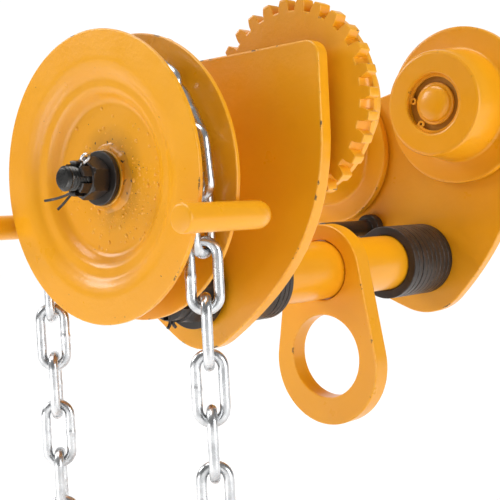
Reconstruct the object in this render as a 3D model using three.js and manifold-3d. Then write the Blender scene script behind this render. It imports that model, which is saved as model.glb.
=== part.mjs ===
// Hand-geared beam trolley: two side plates on a load bar, four flanged wheels, and a pocket
// hand wheel that drives the two geared wheels through a pinion. Millimetres, +Z up.
// X runs along the beam, Y across it. The origin is midway between the side plates, at the
// height of the beam surface that the wheels run on.
import * as THREE from "three";
import { mergeVertices } from "three/addons/utils/BufferGeometryUtils.js";
import Module from "manifold-3d";

const wasm = await Module();
wasm.setup();

// ---- Driving dimensions -------------------------------------------------------------------
const GAP = 0.3; // clearance between pieces that touch

const PLATE_T = 7.5; // side plate thickness
const PLATE_GAP = 208.4; // between the two side plates' inner faces
const PLATE_HALF_W = 87.3;
const PLATE_TOP = 59.7; // above the drive shaft
const DRIVE_LOBE_R = 34.5; // rounded foot of each plate, round the load bar
const FAR_LOBE_R = 37;

const MODULE = 3.5; // gear module
const GEAR_TEETH = 28;
const PINION_TEETH = 9;
const PRESSURE_ANGLE = (20 * Math.PI) / 180;
const GEAR_TIP_R = 50.6;
const PINION_TIP_R = 19.3;
const BACKLASH = 0.35; // taken off each tooth at the pitch circle
const CENTRE_DISTANCE = ((GEAR_TEETH + PINION_TEETH) * MODULE) / 2;

const AXLE_ABOVE_SHAFT = 33.9;
const AXLE_X = Math.sqrt(CENTRE_DISTANCE ** 2 - AXLE_ABOVE_SHAFT ** 2);
const TREAD_R = 34.6; // where the tread rolls on the beam
const TREAD_TAPER = 1.2; // the tread grows by this towards its flange, and shrinks inboard
const FLANGE_R = 51;
const WHEEL_BORE_R = 19;

const AXLE_Z = TREAD_R;
const SHAFT_Z = AXLE_Z - AXLE_ABOVE_SHAFT;
const BAR_BELOW_SHAFT = 56.2;
const BAR_Z = SHAFT_Z - BAR_BELOW_SHAFT;
const BAR_R = 17.5;
const BAR_THREAD_R = 12;
const FAR_FRAME_TURN = (12.2 * Math.PI) / 180; // the far side plate hangs turned on the load bar

const HAND_WHEEL_R = 70.5;
const HAND_WHEEL_W = 26.4; // over the two pressed discs
const HAND_WHEEL_SHEET = 2.5;
const HAND_WHEEL_TO_PLATE = 65.2; // front disc face to the drive plate's outer face

const CHAIN_WIRE = 5;
const CHAIN_PITCH = 25.5;
const CHAIN_LINK_W = 17.6;
const CHAIN_LINKS = 28;
const LINKS_PER_TURN = 14;
const CHAIN_R = CHAIN_PITCH / 2 / Math.sin(Math.PI / LINKS_PER_TURN);
const CHAIN_TWIST = Math.PI / 4; // the hanging strands turn this far about their own length

const EYE_T = 12;
const EYE_Y = -1.6; // centre of the eye plate, which slides on the load bar
const EYE_TOP_R = 27.5;
const EYE_FOOT_R = 37.4;
const EYE_FOOT_DROP = 56.2; // load bar to the centre of the eye plate's foot
const EYE_HOLE_R = 24.9;
const EYE_HOLE_DROP = 52;

// Stations along Y.
const DRIVE_IN_Y = -PLATE_GAP / 2;
const DRIVE_OUT_Y = DRIVE_IN_Y - PLATE_T;
const FAR_IN_Y = PLATE_GAP / 2;
const FAR_OUT_Y = FAR_IN_Y + PLATE_T;
const HAND_Y = DRIVE_OUT_Y - HAND_WHEEL_TO_PLATE; // front face of the hand wheel
const CHAIN_Y = HAND_Y + HAND_WHEEL_W / 2;

// ---- Materials ----------------------------------------------------------------------------
const PAINT = { color: 0xe8a01e, roughness: 0.38, metalness: 0 };
const BLACK_STEEL = { color: 0x2b2626, roughness: 0.45, metalness: 0.6 };
const ZINC = { color: 0xc9ccd0, roughness: 0.25, metalness: 1 };
const BEARING_STEEL = { color: 0x8f8f8c, roughness: 0.35, metalness: 1 };
const BRONZE = { color: 0xa9803e, roughness: 0.4, metalness: 1 };

const trolley = new THREE.Group();
const farFrame = new THREE.Group();
farFrame.position.set(0, 0, BAR_Z);
farFrame.rotation.y = -FAR_FRAME_TURN;
trolley.add(farFrame);

function addPiece(name, geometry, look, parent = trolley) {
  const mesh = new THREE.Mesh(geometry, new THREE.MeshStandardMaterial(look));
  mesh.name = name;
  parent.add(mesh);
  return mesh;
}

// ---- Solid helpers ------------------------------------------------------------------------
function toManifold(geometry) {
  const bare = geometry.clone();
  bare.deleteAttribute("normal");
  bare.deleteAttribute("uv");
  const merged = mergeVertices(bare, 1e-4);
  const vertProperties = new Float32Array(merged.attributes.position.array);
  const triVerts = new Uint32Array(merged.index.array);
  return new wasm.Manifold(new wasm.Mesh({ numProp: 3, vertProperties, triVerts }));
}

function fromManifold(solid) {
  const { vertProperties, triVerts } = solid.getMesh();
  const geometry = new THREE.BufferGeometry();
  geometry.setAttribute("position", new THREE.BufferAttribute(new Float32Array(vertProperties), 3));
  geometry.setIndex(new THREE.BufferAttribute(new Uint32Array(triVerts), 1));
  geometry.computeVertexNormals();
  return geometry;
}

function join(...geometries) {
  return fromManifold(geometries.map(toManifold).reduce((a, b) => a.add(b)));
}

function cut(geometry, ...tools) {
  return fromManifold(tools.map(toManifold).reduce((a, b) => a.subtract(b), toManifold(geometry)));
}

// Revolves [radius, y] pairs about the Y axis. The profile runs with the material on its left.
function turned(profile, segments = 16) {
  const points = profile.map(([r, y]) => new THREE.Vector2(r, y));
  return new THREE.LatheGeometry(points, segments);
}

// A closed ring or tube between two radii.
function ring(inner, outer, y0, y1, segments = 16) {
  return turned([[inner, y0], [outer, y0], [outer, y1], [inner, y1], [inner, y0]], segments);
}

// A round bar along Y with its two ends chamfered.
function roundBar(r, y0, y1, chamfer, segments = 20) {
  const profile = [
    [0, y0],
    [r - chamfer, y0],
    [r, y0 + chamfer],
    [r, y1 - chamfer],
    [r - chamfer, y1],
    [0, y1],
  ];
  return turned(profile, segments);
}

// Extrudes a shape drawn in X and Z from y0 to y1.
function slab(shape, y0, y1, curveSegments = 8) {
  const geometry = new THREE.ExtrudeGeometry(shape, {
    depth: y1 - y0,
    bevelEnabled: false,
    curveSegments,
  });
  return geometry.rotateX(Math.PI / 2).translate(0, y1, 0);
}

// The radius of a faceted hole whose flats still clear a bar of radius r.
function clearing(r) {
  return (r + GAP) / Math.cos(Math.PI / 16);
}

function circleHole(x, z, r) {
  const hole = new THREE.Path();
  hole.absarc(x, z, r, 0, 2 * Math.PI, true);
  return hole;
}

// ---- Side plates --------------------------------------------------------------------------
// Drawn about the load bar's axis. The broad top carries two wheels, and the sides sweep in to
// a rounded foot.
function sidePlateShape(lobeR) {
  const top = PLATE_TOP + BAR_BELOW_SHAFT;
  const corner = 8;
  const footAngle = (57 * Math.PI) / 180;
  const footX = lobeR * Math.cos(footAngle);
  const footZ = -lobeR * Math.sin(footAngle);
  const reach = 55;
  const leanX = footX + reach * Math.sin(footAngle);
  const leanZ = footZ + reach * Math.cos(footAngle);
  const sideZ = BAR_BELOW_SHAFT + 20;
  const sweep = 45;
  const shape = new THREE.Shape();
  shape.moveTo(footX, footZ);
  shape.bezierCurveTo(leanX, leanZ, PLATE_HALF_W, sideZ - sweep, PLATE_HALF_W, sideZ);
  shape.lineTo(PLATE_HALF_W, top - corner);
  shape.absarc(PLATE_HALF_W - corner, top - corner, corner, 0, Math.PI / 2, false);
  shape.lineTo(-PLATE_HALF_W + corner, top);
  shape.absarc(-PLATE_HALF_W + corner, top - corner, corner, Math.PI / 2, Math.PI, false);
  shape.lineTo(-PLATE_HALF_W, sideZ);
  shape.bezierCurveTo(-PLATE_HALF_W, sideZ - sweep, -leanX, leanZ, -footX, footZ);
  shape.absarc(0, 0, lobeR, Math.PI + footAngle, 2 * Math.PI - footAngle, false);
  return shape;
}

const AXLE_SPIGOT_R = 8;
const AXLE_SOCKET_DEPTH = 5; // blind, so the plate's outer face stays plain
const HOUSING_R = 14.4;

function axleSocket(x, plateInnerY, side) {
  const y0 = plateInnerY - GAP * side;
  const y1 = plateInnerY + AXLE_SOCKET_DEPTH * side;
  const socket = roundBar(clearing(AXLE_SPIGOT_R), Math.min(y0, y1), Math.max(y0, y1), 0.01, 16);
  return socket.translate(x, 0, BAR_BELOW_SHAFT + AXLE_ABOVE_SHAFT);
}

const driveShape = sidePlateShape(DRIVE_LOBE_R);
driveShape.holes.push(circleHole(0, 0, clearing(BAR_R)));
driveShape.holes.push(circleHole(0, BAR_BELOW_SHAFT, clearing(HOUSING_R)));
const drivePlate = cut(
  slab(driveShape, DRIVE_OUT_Y, DRIVE_IN_Y),
  axleSocket(-AXLE_X, DRIVE_IN_Y, -1),
  axleSocket(AXLE_X, DRIVE_IN_Y, -1),
);
addPiece("drive_side_plate", drivePlate.translate(0, 0, BAR_Z), PAINT);

// The far plate's guide stud stands above the load bar, on the -X side.
const STUD_X = -34.4;
const STUD_ABOVE_BAR = 30.1;
const STUD_R = 5.6;
const STUD_COLLAR_R = 9.4;

const farShape = sidePlateShape(FAR_LOBE_R);
farShape.holes.push(circleHole(0, 0, clearing(BAR_R)));
farShape.holes.push(circleHole(STUD_X, STUD_ABOVE_BAR, clearing(STUD_R)));
const farPlate = cut(
  slab(farShape, FAR_IN_Y, FAR_OUT_Y),
  axleSocket(-AXLE_X, FAR_IN_Y, 1),
  axleSocket(AXLE_X, FAR_IN_Y, 1),
);
addPiece("far_side_plate", farPlate, PAINT, farFrame);

const guideStud = turned([
  [0, FAR_IN_Y - 58],
  [STUD_R - 1, FAR_IN_Y - 58],
  [STUD_R, FAR_IN_Y - 57],
  [STUD_R, FAR_IN_Y - GAP - 8],
  [STUD_COLLAR_R, FAR_IN_Y - GAP - 7],
  [STUD_COLLAR_R, FAR_IN_Y - GAP],
  [STUD_R, FAR_IN_Y - GAP],
  [STUD_R, FAR_OUT_Y + 3],
  [0, FAR_OUT_Y + 3],
], 14);
addPiece("guide_stud", guideStud.translate(STUD_X, 0, STUD_ABOVE_BAR), BLACK_STEEL, farFrame);

// ---- Load bar, its nuts and its spacers ---------------------------------------------------
const BAR_OVERHANG = 2.7; // full-diameter bar standing out past each side plate
const OUTER_WASHER_T = 3;
const BAR_NUT_AF = 36;
const BAR_NUT_H = 17;
const BAR_TAIL = 5; // thread past the nut
const BAR_PIN_R = 1.8;

const barNearY = DRIVE_OUT_Y - BAR_OVERHANG;
const barFarY = FAR_OUT_Y + BAR_OVERHANG;
const nearWasherY = barNearY - GAP - OUTER_WASHER_T;
const farWasherY = barFarY + GAP;
const nearNutY = nearWasherY - GAP - BAR_NUT_H;
const farNutY = farWasherY + OUTER_WASHER_T + GAP;
const nearPinY = nearNutY + 3;
const farPinY = farNutY + BAR_NUT_H - 3;

// A pin hole through a shaft, along Z.
function crossHole(r, y, length) {
  return new THREE.CylinderGeometry(r, r, length, 12).rotateX(Math.PI / 2).translate(0, y, 0);
}

const barBlank = turned([
  [0, nearNutY - BAR_TAIL],
  [BAR_THREAD_R - 1.5, nearNutY - BAR_TAIL],
  [BAR_THREAD_R, nearNutY - BAR_TAIL + 1.5],
  [BAR_THREAD_R, barNearY],
  [BAR_R - 1, barNearY],
  [BAR_R, barNearY + 1],
  [BAR_R, barFarY - 1],
  [BAR_R - 1, barFarY],
  [BAR_THREAD_R, barFarY],
  [BAR_THREAD_R, farNutY + BAR_NUT_H + BAR_TAIL - 1.5],
  [BAR_THREAD_R - 1.5, farNutY + BAR_NUT_H + BAR_TAIL],
  [0, farNutY + BAR_NUT_H + BAR_TAIL],
]);
const loadBar = cut(
  barBlank,
  crossHole(BAR_PIN_R + GAP, nearPinY, 40),
  crossHole(BAR_PIN_R + GAP, farPinY, 40),
);
addPiece("load_bar", loadBar.translate(0, 0, BAR_Z), PAINT);

// A castle nut along Y. Its slotted end is at y0 when slotSide is -1, else at y0 + height.
function castleNut(acrossFlats, height, boreR, y0, slotSide, slotW, slotDepth) {
  const hex = new THREE.Shape();
  const cornerR = acrossFlats / Math.sqrt(3);
  for (let i = 0; i < 6; i += 1) {
    const a = (i * Math.PI) / 3;
    const x = cornerR * Math.cos(a);
    const z = cornerR * Math.sin(a);
    if (i === 0) hex.moveTo(x, z);
    else hex.lineTo(x, z);
  }
  hex.holes.push(circleHole(0, 0, boreR));
  const slotY = slotSide < 0 ? y0 + slotDepth / 2 - 0.5 : y0 + height - slotDepth / 2 + 0.5;
  const slots = [0, 1, 2].map((i) => {
    const slot = new THREE.BoxGeometry(slotW, slotDepth + 1, cornerR * 2.4);
    return slot.rotateY((i * Math.PI) / 3).translate(0, slotY, 0);
  });
  return cut(slab(hex, y0, y0 + height, 8), ...slots);
}

// A split pin along Z with a round eye above and two short legs bent apart below.
function splitPin(r, y, halfSpan, legBend) {
  const shank = new THREE.CylinderGeometry(r, r, 2 * halfSpan, 8).rotateX(Math.PI / 2);
  const eye = new THREE.TorusGeometry(r * 1.9, r * 0.8, 6, 10).translate(0, halfSpan + r * 1.6, 0);
  eye.rotateX(Math.PI / 2);
  const legR = r * 0.55;
  const legs = [-1, 1].map((side) => {
    const leg = new THREE.CylinderGeometry(legR, legR, legBend, 6);
    leg.translate(0, -legBend / 2 + 0.4, 0).rotateZ((side * 12 * Math.PI) / 180);
    return leg.translate(side * r * 0.3, 0, -halfSpan + r * 0.8);
  });
  return join(shank, eye, ...legs).translate(0, y, 0);
}

const nearNut = castleNut(BAR_NUT_AF, BAR_NUT_H, BAR_THREAD_R + GAP, nearNutY, -1, 5, 6);
const farNut = castleNut(BAR_NUT_AF, BAR_NUT_H, BAR_THREAD_R + GAP, farNutY, 1, 5, 6);
addPiece("load_bar_nut_near", nearNut.translate(0, 0, BAR_Z), BLACK_STEEL);
addPiece("load_bar_nut_far", farNut.translate(0, 0, BAR_Z), BLACK_STEEL);

const OUTER_WASHER_R = 23;
const nearOuterWasher = ring(BAR_THREAD_R + GAP, OUTER_WASHER_R, nearWasherY, nearWasherY + OUTER_WASHER_T);
const farOuterWasher = ring(BAR_THREAD_R + GAP, OUTER_WASHER_R, farWasherY, farWasherY + OUTER_WASHER_T);
addPiece("outer_washer_near", nearOuterWasher.translate(0, 0, BAR_Z), BLACK_STEEL);
addPiece("outer_washer_far", farOuterWasher.translate(0, 0, BAR_Z), BLACK_STEEL);

addPiece("load_bar_pin_near", splitPin(BAR_PIN_R, nearPinY, 20.8, 9).translate(0, 0, BAR_Z), ZINC);
addPiece("load_bar_pin_far", splitPin(BAR_PIN_R, farPinY, 20.8, 9).translate(0, 0, BAR_Z), ZINC);

// Loose spacers between the side plates set the width for the beam.
const SPACER_R = 23.5;
const SPACER_BORE_R = BAR_R + 0.4;
const SLEEVE_L = 33;
const WASHER_T = 3.1;
const WASHER_STEP = WASHER_T + GAP;

addPiece(
  "spacer_sleeve",
  ring(SPACER_BORE_R, SPACER_R, DRIVE_IN_Y + GAP, DRIVE_IN_Y + GAP + SLEEVE_L).translate(0, 0, BAR_Z),
  BLACK_STEEL,
);
for (let i = 0; i < 3; i += 1) {
  const y = DRIVE_IN_Y + SLEEVE_L + 2 * GAP + i * WASHER_STEP;
  const washer = ring(SPACER_BORE_R, SPACER_R, y, y + WASHER_T).translate(0, 0, BAR_Z);
  addPiece(`near_washer_${i + 1}`, washer, BLACK_STEEL);
}

// Seven thicker washers stand against the far plate, and two more lie just clear of them.
const FAR_WASHER_T = 4.6;
const FAR_WASHER_STEP = FAR_WASHER_T + GAP;
for (let i = 0; i < 9; i += 1) {
  const slack = i < 7 ? 0 : 0.5;
  const y = FAR_IN_Y - GAP - FAR_WASHER_T - i * FAR_WASHER_STEP - slack;
  const washer = ring(SPACER_BORE_R, SPACER_R, y, y + FAR_WASHER_T).translate(0, 0, BAR_Z);
  addPiece(`far_washer_${i + 1}`, washer, BLACK_STEEL);
}

// ---- Eye plate ----------------------------------------------------------------------------
// Two round ends joined by the lines that touch both.
function eyePlateShape() {
  const lean = Math.asin((EYE_FOOT_R - EYE_TOP_R) / EYE_FOOT_DROP);
  const shape = new THREE.Shape();
  shape.absarc(0, 0, EYE_TOP_R, lean, Math.PI - lean, false);
  shape.absarc(0, -EYE_FOOT_DROP, EYE_FOOT_R, Math.PI - lean, 2 * Math.PI + lean, false);
  shape.closePath();
  shape.holes.push(circleHole(0, 0, BAR_R + 0.5));
  shape.holes.push(circleHole(0, -EYE_HOLE_DROP, EYE_HOLE_R));
  return shape;
}
const eyePlate = slab(eyePlateShape(), EYE_Y - EYE_T / 2, EYE_Y + EYE_T / 2, 14);
addPiece("eye_plate", eyePlate.translate(0, 0, BAR_Z), PAINT);

// ---- Gear teeth ---------------------------------------------------------------------------
function involute(a) {
  return Math.tan(a) - a;
}

// A closed outline of spur teeth in X and Z, turned so that a tooth or a space lies at `phase`.
function gearShape(teeth, tipR, rootR, phase, flankSteps) {
  const pitchR = (teeth * MODULE) / 2;
  const baseR = pitchR * Math.cos(PRESSURE_ANGLE);
  const halfAtPitch = Math.PI / (2 * teeth) - BACKLASH / 2 / pitchR;
  const halfAngle = (r) => {
    if (r <= baseR) return halfAtPitch + involute(PRESSURE_ANGLE);
    return halfAtPitch + involute(PRESSURE_ANGLE) - involute(Math.acos(baseR / r));
  };
  const startR = Math.max(rootR, baseR);
  const shape = new THREE.Shape();
  let first = true;
  const visit = (r, a) => {
    if (first) shape.moveTo(r * Math.cos(a), r * Math.sin(a));
    else shape.lineTo(r * Math.cos(a), r * Math.sin(a));
    first = false;
  };
  for (let t = 0; t < teeth; t += 1) {
    const centre = phase + (t * 2 * Math.PI) / teeth;
    if (rootR < baseR) visit(rootR, centre - halfAngle(baseR));
    for (let i = 0; i <= flankSteps; i += 1) {
      const r = startR + ((tipR - startR) * i) / flankSteps;
      visit(r, centre - halfAngle(r));
    }
    for (let i = flankSteps; i >= 0; i -= 1) {
      const r = startR + ((tipR - startR) * i) / flankSteps;
      visit(r, centre + halfAngle(r));
    }
    if (rootR < baseR) visit(rootR, centre + halfAngle(baseR));
  }
  shape.closePath();
  return shape;
}

const TIP_CLEARANCE = 0.6;
const GEAR_ROOT_R = CENTRE_DISTANCE - PINION_TIP_R - TIP_CLEARANCE;
const PINION_ROOT_R = CENTRE_DISTANCE - GEAR_TIP_R - TIP_CLEARANCE;
const MESH_ANGLE = Math.atan2(AXLE_ABOVE_SHAFT, AXLE_X); // shaft to the +X wheel's axle

// ---- Wheels -------------------------------------------------------------------------------
// Wheels are drawn along +Y from their flange side, which faces the side plate at y = 0.
const GEAR_STANDOFF = 6.8; // drive plate to the gear's face
const TOOTH_W = 7.5;
const GEAR_RIM_W = 3.5; // rim behind the teeth, lower than their tips
const GEAR_RIM_R = 47.5;
const GEARED_TREAD_W = 23;
const PLAIN_STANDOFF = 1.2;
const PLAIN_FLANGE_T = 6;
const PLAIN_TREAD_W = 28;
const CLIP_GROOVE_R = 19.9;
const CLIP_T = 1.4;
const CLIP_DEPTH = 2.6; // bore face to the retaining ring

// The wheel's outline from its bore outwards. A neck of length `neckL` and radius `neckR` runs
// from y = 0 to the flange.
function wheelBody(neckR, neckL, flangeR, flangeT, treadW) {
  const flangeY = neckL + flangeT;
  const front = flangeY + treadW;
  const neck = neckL > 0 ? [[neckR, 0], [neckR, neckL]] : [];
  return turned([
    [WHEEL_BORE_R, 0],
    ...neck,
    [flangeR, neckL],
    [flangeR, flangeY],
    [TREAD_R + TREAD_TAPER, flangeY],
    [TREAD_R - TREAD_TAPER, front],
    [WHEEL_BORE_R, front],
    [WHEEL_BORE_R, front - CLIP_DEPTH],
    [CLIP_GROOVE_R, front - CLIP_DEPTH],
    [CLIP_GROOVE_R, front - CLIP_DEPTH - CLIP_T - GAP],
    [WHEEL_BORE_R, front - CLIP_DEPTH - CLIP_T - GAP],
    [WHEEL_BORE_R, 0],
  ], 20);
}

function gearedWheel(phase) {
  const neckR = WHEEL_BORE_R + 8;
  const teeth = gearShape(GEAR_TEETH, GEAR_TIP_R, GEAR_ROOT_R, phase, 1);
  teeth.holes.push(circleHole(0, 0, neckR - 2));
  const toothed = slab(teeth, 0, TOOTH_W + 0.5, 4);
  return join(wheelBody(neckR, TOOTH_W, GEAR_RIM_R, GEAR_RIM_W, GEARED_TREAD_W), toothed);
}

// An axle stud: spigot in the plate, shoulder, bearing seat and a broad domed head.
const DOME_R = 13.4;
const AXLE_R = 8.5;
const BEARING_W = 12;

function axleStud(standoff, front) {
  const headY = front - CLIP_DEPTH - CLIP_T - 1;
  return turned([
    [0, -AXLE_SOCKET_DEPTH + GAP],
    [AXLE_SPIGOT_R, -AXLE_SOCKET_DEPTH + GAP],
    [AXLE_SPIGOT_R, GAP],
    [15, GAP],
    [15, standoff - GAP],
    [AXLE_R + 3, standoff - GAP],
    [AXLE_R + 3, headY - BEARING_W - GAP],
    [AXLE_R, headY - BEARING_W - GAP],
    [AXLE_R, headY],
    [DOME_R, headY],
    [DOME_R, headY + 2.4],
    [DOME_R * 0.75, headY + 5.2],
    [0, headY + 6.9],
  ], 12);
}

function wheelBearing(front) {
  const y1 = front - CLIP_DEPTH - CLIP_T - 1 - GAP;
  return ring(AXLE_R + GAP, WHEEL_BORE_R - GAP, y1 - BEARING_W + 2 * GAP, y1, 20);
}

// An open retaining ring with two ears that point inward.
function retainingRing(front) {
  const y1 = front - CLIP_DEPTH - GAP / 2;
  const y0 = y1 - CLIP_T;
  const open = 0.16;
  const outline = new THREE.Shape();
  outline.absarc(0, 0, CLIP_GROOVE_R - GAP, open, 2 * Math.PI - open, false);
  outline.absarc(0, 0, 17, 2 * Math.PI - open, open, true);
  outline.closePath();
  const ears = [-1, 1].map((side) => {
    const ear = new THREE.CylinderGeometry(1.9, 1.9, CLIP_T, 6);
    return ear.translate(16 * Math.cos(open * 1.6), (y0 + y1) / 2, side * 16 * Math.sin(open * 1.6));
  });
  return join(slab(outline, y0, y1, 9), ...ears);
}

// Adds one wheel set; the geared ones go at the drive plate and the plain ones at the far plate.
function addWheelSet(suffix, x, z, geared, parent, ringTurn) {
  const standoff = geared ? GEAR_STANDOFF : PLAIN_STANDOFF;
  const flangeT = geared ? TOOTH_W + GEAR_RIM_W : PLAIN_FLANGE_T;
  const front = standoff + flangeT + (geared ? GEARED_TREAD_W : PLAIN_TREAD_W);
  const set = new THREE.Group();
  set.position.set(x, geared ? DRIVE_IN_Y : FAR_IN_Y, z);
  // The far wheels face the other way, so their group is turned half round.
  if (!geared) set.rotation.z = Math.PI;
  parent.add(set);
  // A tooth space of each gear faces the pinion's centre.
  const towardPinion = Math.atan2(-AXLE_ABOVE_SHAFT, -x);
  const wheel = geared
    ? gearedWheel(towardPinion + Math.PI / GEAR_TEETH + meshShift(x))
    : wheelBody(WHEEL_BORE_R, 0, FLANGE_R, PLAIN_FLANGE_T, PLAIN_TREAD_W);
  const kind = geared ? "geared_wheel" : "plain_wheel";
  addPiece(`${kind}_${suffix}`, wheel.translate(0, standoff, 0), PAINT, set);
  addPiece(`axle_${suffix}`, axleStud(standoff, front), PAINT, set);
  addPiece(`bearing_${suffix}`, wheelBearing(front), BEARING_STEEL, set);
  const clip = retainingRing(front).rotateY(ringTurn);
  addPiece(`wheel_clip_${suffix}`, clip, PAINT, set);
}

// The pinion's teeth are set to mesh with the +X gear. The -X gear turns by the part of a
// tooth that its own line of centres asks for.
const PINION_PHASE = MESH_ANGLE;
function meshShift(x) {
  if (x > 0) return 0;
  const pinionStep = (2 * Math.PI) / PINION_TEETH;
  const lineAngle = Math.PI - MESH_ANGLE;
  const offset = (PINION_PHASE - lineAngle) / pinionStep;
  const part = offset - Math.round(offset);
  return -part * ((2 * Math.PI) / GEAR_TEETH);
}

addWheelSet("drive_right", AXLE_X, AXLE_Z, true, trolley, 0.5);
addWheelSet("drive_left", -AXLE_X, AXLE_Z, true, trolley, 0.5);
addWheelSet("far_right", AXLE_X, AXLE_Z - BAR_Z, false, farFrame, 0.35);
addWheelSet("far_left", -AXLE_X, AXLE_Z - BAR_Z, false, farFrame, 0.35);

// ---- Drive shaft and pinion ---------------------------------------------------------------
const SHAFT_R = 8;
const SHAFT_THREAD_R = 6;
const SHAFT_END_Y = HAND_Y - 19.2;
const PINION_Y0 = DRIVE_IN_Y + GEAR_STANDOFF;
const PINION_Y1 = PINION_Y0 + 6;
const HUB_FRONT_Y = HAND_Y + 5;
const HUB_BACK_Y = HAND_Y + 30;
const HOUSING_OUT_Y = HAND_Y + 31;
const BUSH_R = 11;
const KEY_W = 4;

const shaftWasher = ring(SHAFT_THREAD_R + GAP, 13.2, HUB_FRONT_Y - GAP - 2.7, HUB_FRONT_Y - GAP);
addPiece("shaft_washer", shaftWasher.translate(0, 0, SHAFT_Z), BLACK_STEEL);

const SHAFT_NUT_AF = 18;
const SHAFT_NUT_H = 15;
const shaftNutY = HUB_FRONT_Y - GAP - 2.7 - GAP - SHAFT_NUT_H;
const PIN_TILT = (38 * Math.PI) / 180;
const shaftPinY = shaftNutY + 2.6;

const shaftBlank = turned([
  [0, SHAFT_END_Y],
  [SHAFT_THREAD_R - 0.9, SHAFT_END_Y],
  [SHAFT_THREAD_R, SHAFT_END_Y + 0.9],
  [SHAFT_THREAD_R, HUB_FRONT_Y - GAP],
  [SHAFT_R, HUB_FRONT_Y - GAP],
  [SHAFT_R, PINION_Y1 + 7],
  [SHAFT_R - 1, PINION_Y1 + 8],
  [0, PINION_Y1 + 8],
]);
const shaftPinHole = crossHole(1.3 + GAP, shaftPinY, 30).rotateY(PIN_TILT);
const clipGroove = ring(SHAFT_R - 1.2, SHAFT_R + 2, PINION_Y1 + GAP, PINION_Y1 + GAP + 2, 18);
const keyL = HUB_BACK_Y - HUB_FRONT_Y - 6;
const keyY = (HUB_BACK_Y + HUB_FRONT_Y) / 2;
const keySlot = new THREE.BoxGeometry(KEY_W + GAP, keyL + 2 * GAP, 6).translate(0, keyY, SHAFT_R);
const driveShaft = cut(shaftBlank, shaftPinHole, clipGroove, keySlot);
addPiece("drive_shaft", driveShaft.translate(0, 0, SHAFT_Z), BLACK_STEEL);

const shaftNut = castleNut(SHAFT_NUT_AF, SHAFT_NUT_H, SHAFT_THREAD_R + GAP, shaftNutY, -1, 3.4, 5.6);
addPiece("shaft_nut", shaftNut.rotateY(PIN_TILT).translate(0, 0, SHAFT_Z), BLACK_STEEL);
const shaftPin = splitPin(1.3, shaftPinY, 10.9, 8).rotateY(PIN_TILT);
addPiece("shaft_pin", shaftPin.translate(0, 0, SHAFT_Z), ZINC);

const hubKey = new THREE.BoxGeometry(KEY_W, keyL, 4.4).translate(0, keyY, SHAFT_R + 0.1);
addPiece("hub_key", hubKey.translate(0, 0, SHAFT_Z), BEARING_STEEL);

const pinionOutline = gearShape(PINION_TEETH, PINION_TIP_R, PINION_ROOT_R, PINION_PHASE, 3);
pinionOutline.holes.push(circleHole(0, 0, SHAFT_R + GAP));
const pinion = slab(pinionOutline, PINION_Y0, PINION_Y1, 10);
addPiece("pinion", pinion.translate(0, 0, SHAFT_Z), BEARING_STEEL);

const pinionClip = ring(SHAFT_R - 0.9, SHAFT_R + 3, PINION_Y1 + GAP + 0.3, PINION_Y1 + GAP + 1.7, 20);
addPiece("pinion_clip", pinionClip.translate(0, 0, SHAFT_Z), BLACK_STEEL);

const housing = ring(BUSH_R + GAP, HOUSING_R, HOUSING_OUT_Y, DRIVE_IN_Y + 4);
addPiece("shaft_housing", housing.translate(0, 0, SHAFT_Z), PAINT);
const bush = ring(SHAFT_R + GAP, BUSH_R, HOUSING_OUT_Y, DRIVE_IN_Y + 6);
addPiece("shaft_bush", bush.translate(0, 0, SHAFT_Z), BRONZE);

// ---- Hand wheel ---------------------------------------------------------------------------
// Both discs are the same pressing: a flat rim, two steps down and a flat dished centre.
const DISH_DEPTH = 9;
const LEDGE_DEPTH = 4;
const HUB_R = 14;

function pressedDisc() {
  const t = HAND_WHEEL_SHEET;
  return turned([
    [HUB_R + GAP, DISH_DEPTH],
    [38.9, DISH_DEPTH],
    [40.2, DISH_DEPTH - 0.7],
    [42.6, LEDGE_DEPTH + 0.6],
    [44, LEDGE_DEPTH],
    [48.6, LEDGE_DEPTH - 0.8],
    [51.4, 0.5],
    [53, 0],
    [HAND_WHEEL_R - 0.5, 0],
    [HAND_WHEEL_R, 0.5],
    [HAND_WHEEL_R, t - 0.5],
    [HAND_WHEEL_R - 0.5, t],
    [53.4, t],
    [48.4, LEDGE_DEPTH + t - 0.2],
    [44.6, LEDGE_DEPTH + t + 0.4],
    [40, DISH_DEPTH + t],
    [HUB_R + GAP, DISH_DEPTH + t],
    [HUB_R + GAP, DISH_DEPTH],
  ], 28);
}

const frontDisc = pressedDisc().translate(0, HAND_Y, 0);
addPiece("hand_wheel_front", frontDisc.translate(0, 0, SHAFT_Z), PAINT);
const backDisc = pressedDisc().rotateZ(Math.PI).translate(0, HAND_Y + HAND_WHEEL_W, 0);
addPiece("hand_wheel_back", backDisc.translate(0, 0, SHAFT_Z), PAINT);

const hubBlank = ring(SHAFT_R + GAP, HUB_R, HUB_FRONT_Y, HUB_BACK_Y, 24);
const hubKeyway = new THREE.BoxGeometry(KEY_W + GAP, keyL + 40, 6).translate(0, keyY, SHAFT_R + 0.1);
addPiece("hand_wheel_hub", cut(hubBlank, hubKeyway).translate(0, 0, SHAFT_Z), PAINT);

// ---- Hand chain route ---------------------------------------------------------------------
// The chain's centre line lies in one plane: up the +X side, over the wheel, down the -X side
// and round the free bend below. Joints between links are one pitch apart.
const FIRST_JOINT_Z = -34.75; // below the shaft, on the +X strand

function routePoint(s, drop) {
  const half = Math.PI * CHAIN_R;
  const lap = 2 * half + 2 * drop;
  let d = ((s % lap) + lap) % lap;
  if (d < drop) return [CHAIN_R, d - drop];
  d -= drop;
  if (d < half) return [CHAIN_R * Math.cos(d / CHAIN_R), CHAIN_R * Math.sin(d / CHAIN_R)];
  d -= half;
  if (d < drop) return [-CHAIN_R, -d];
  d -= drop;
  const a = Math.PI + d / CHAIN_R;
  return [CHAIN_R * Math.cos(a), -drop + CHAIN_R * Math.sin(a)];
}

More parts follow.
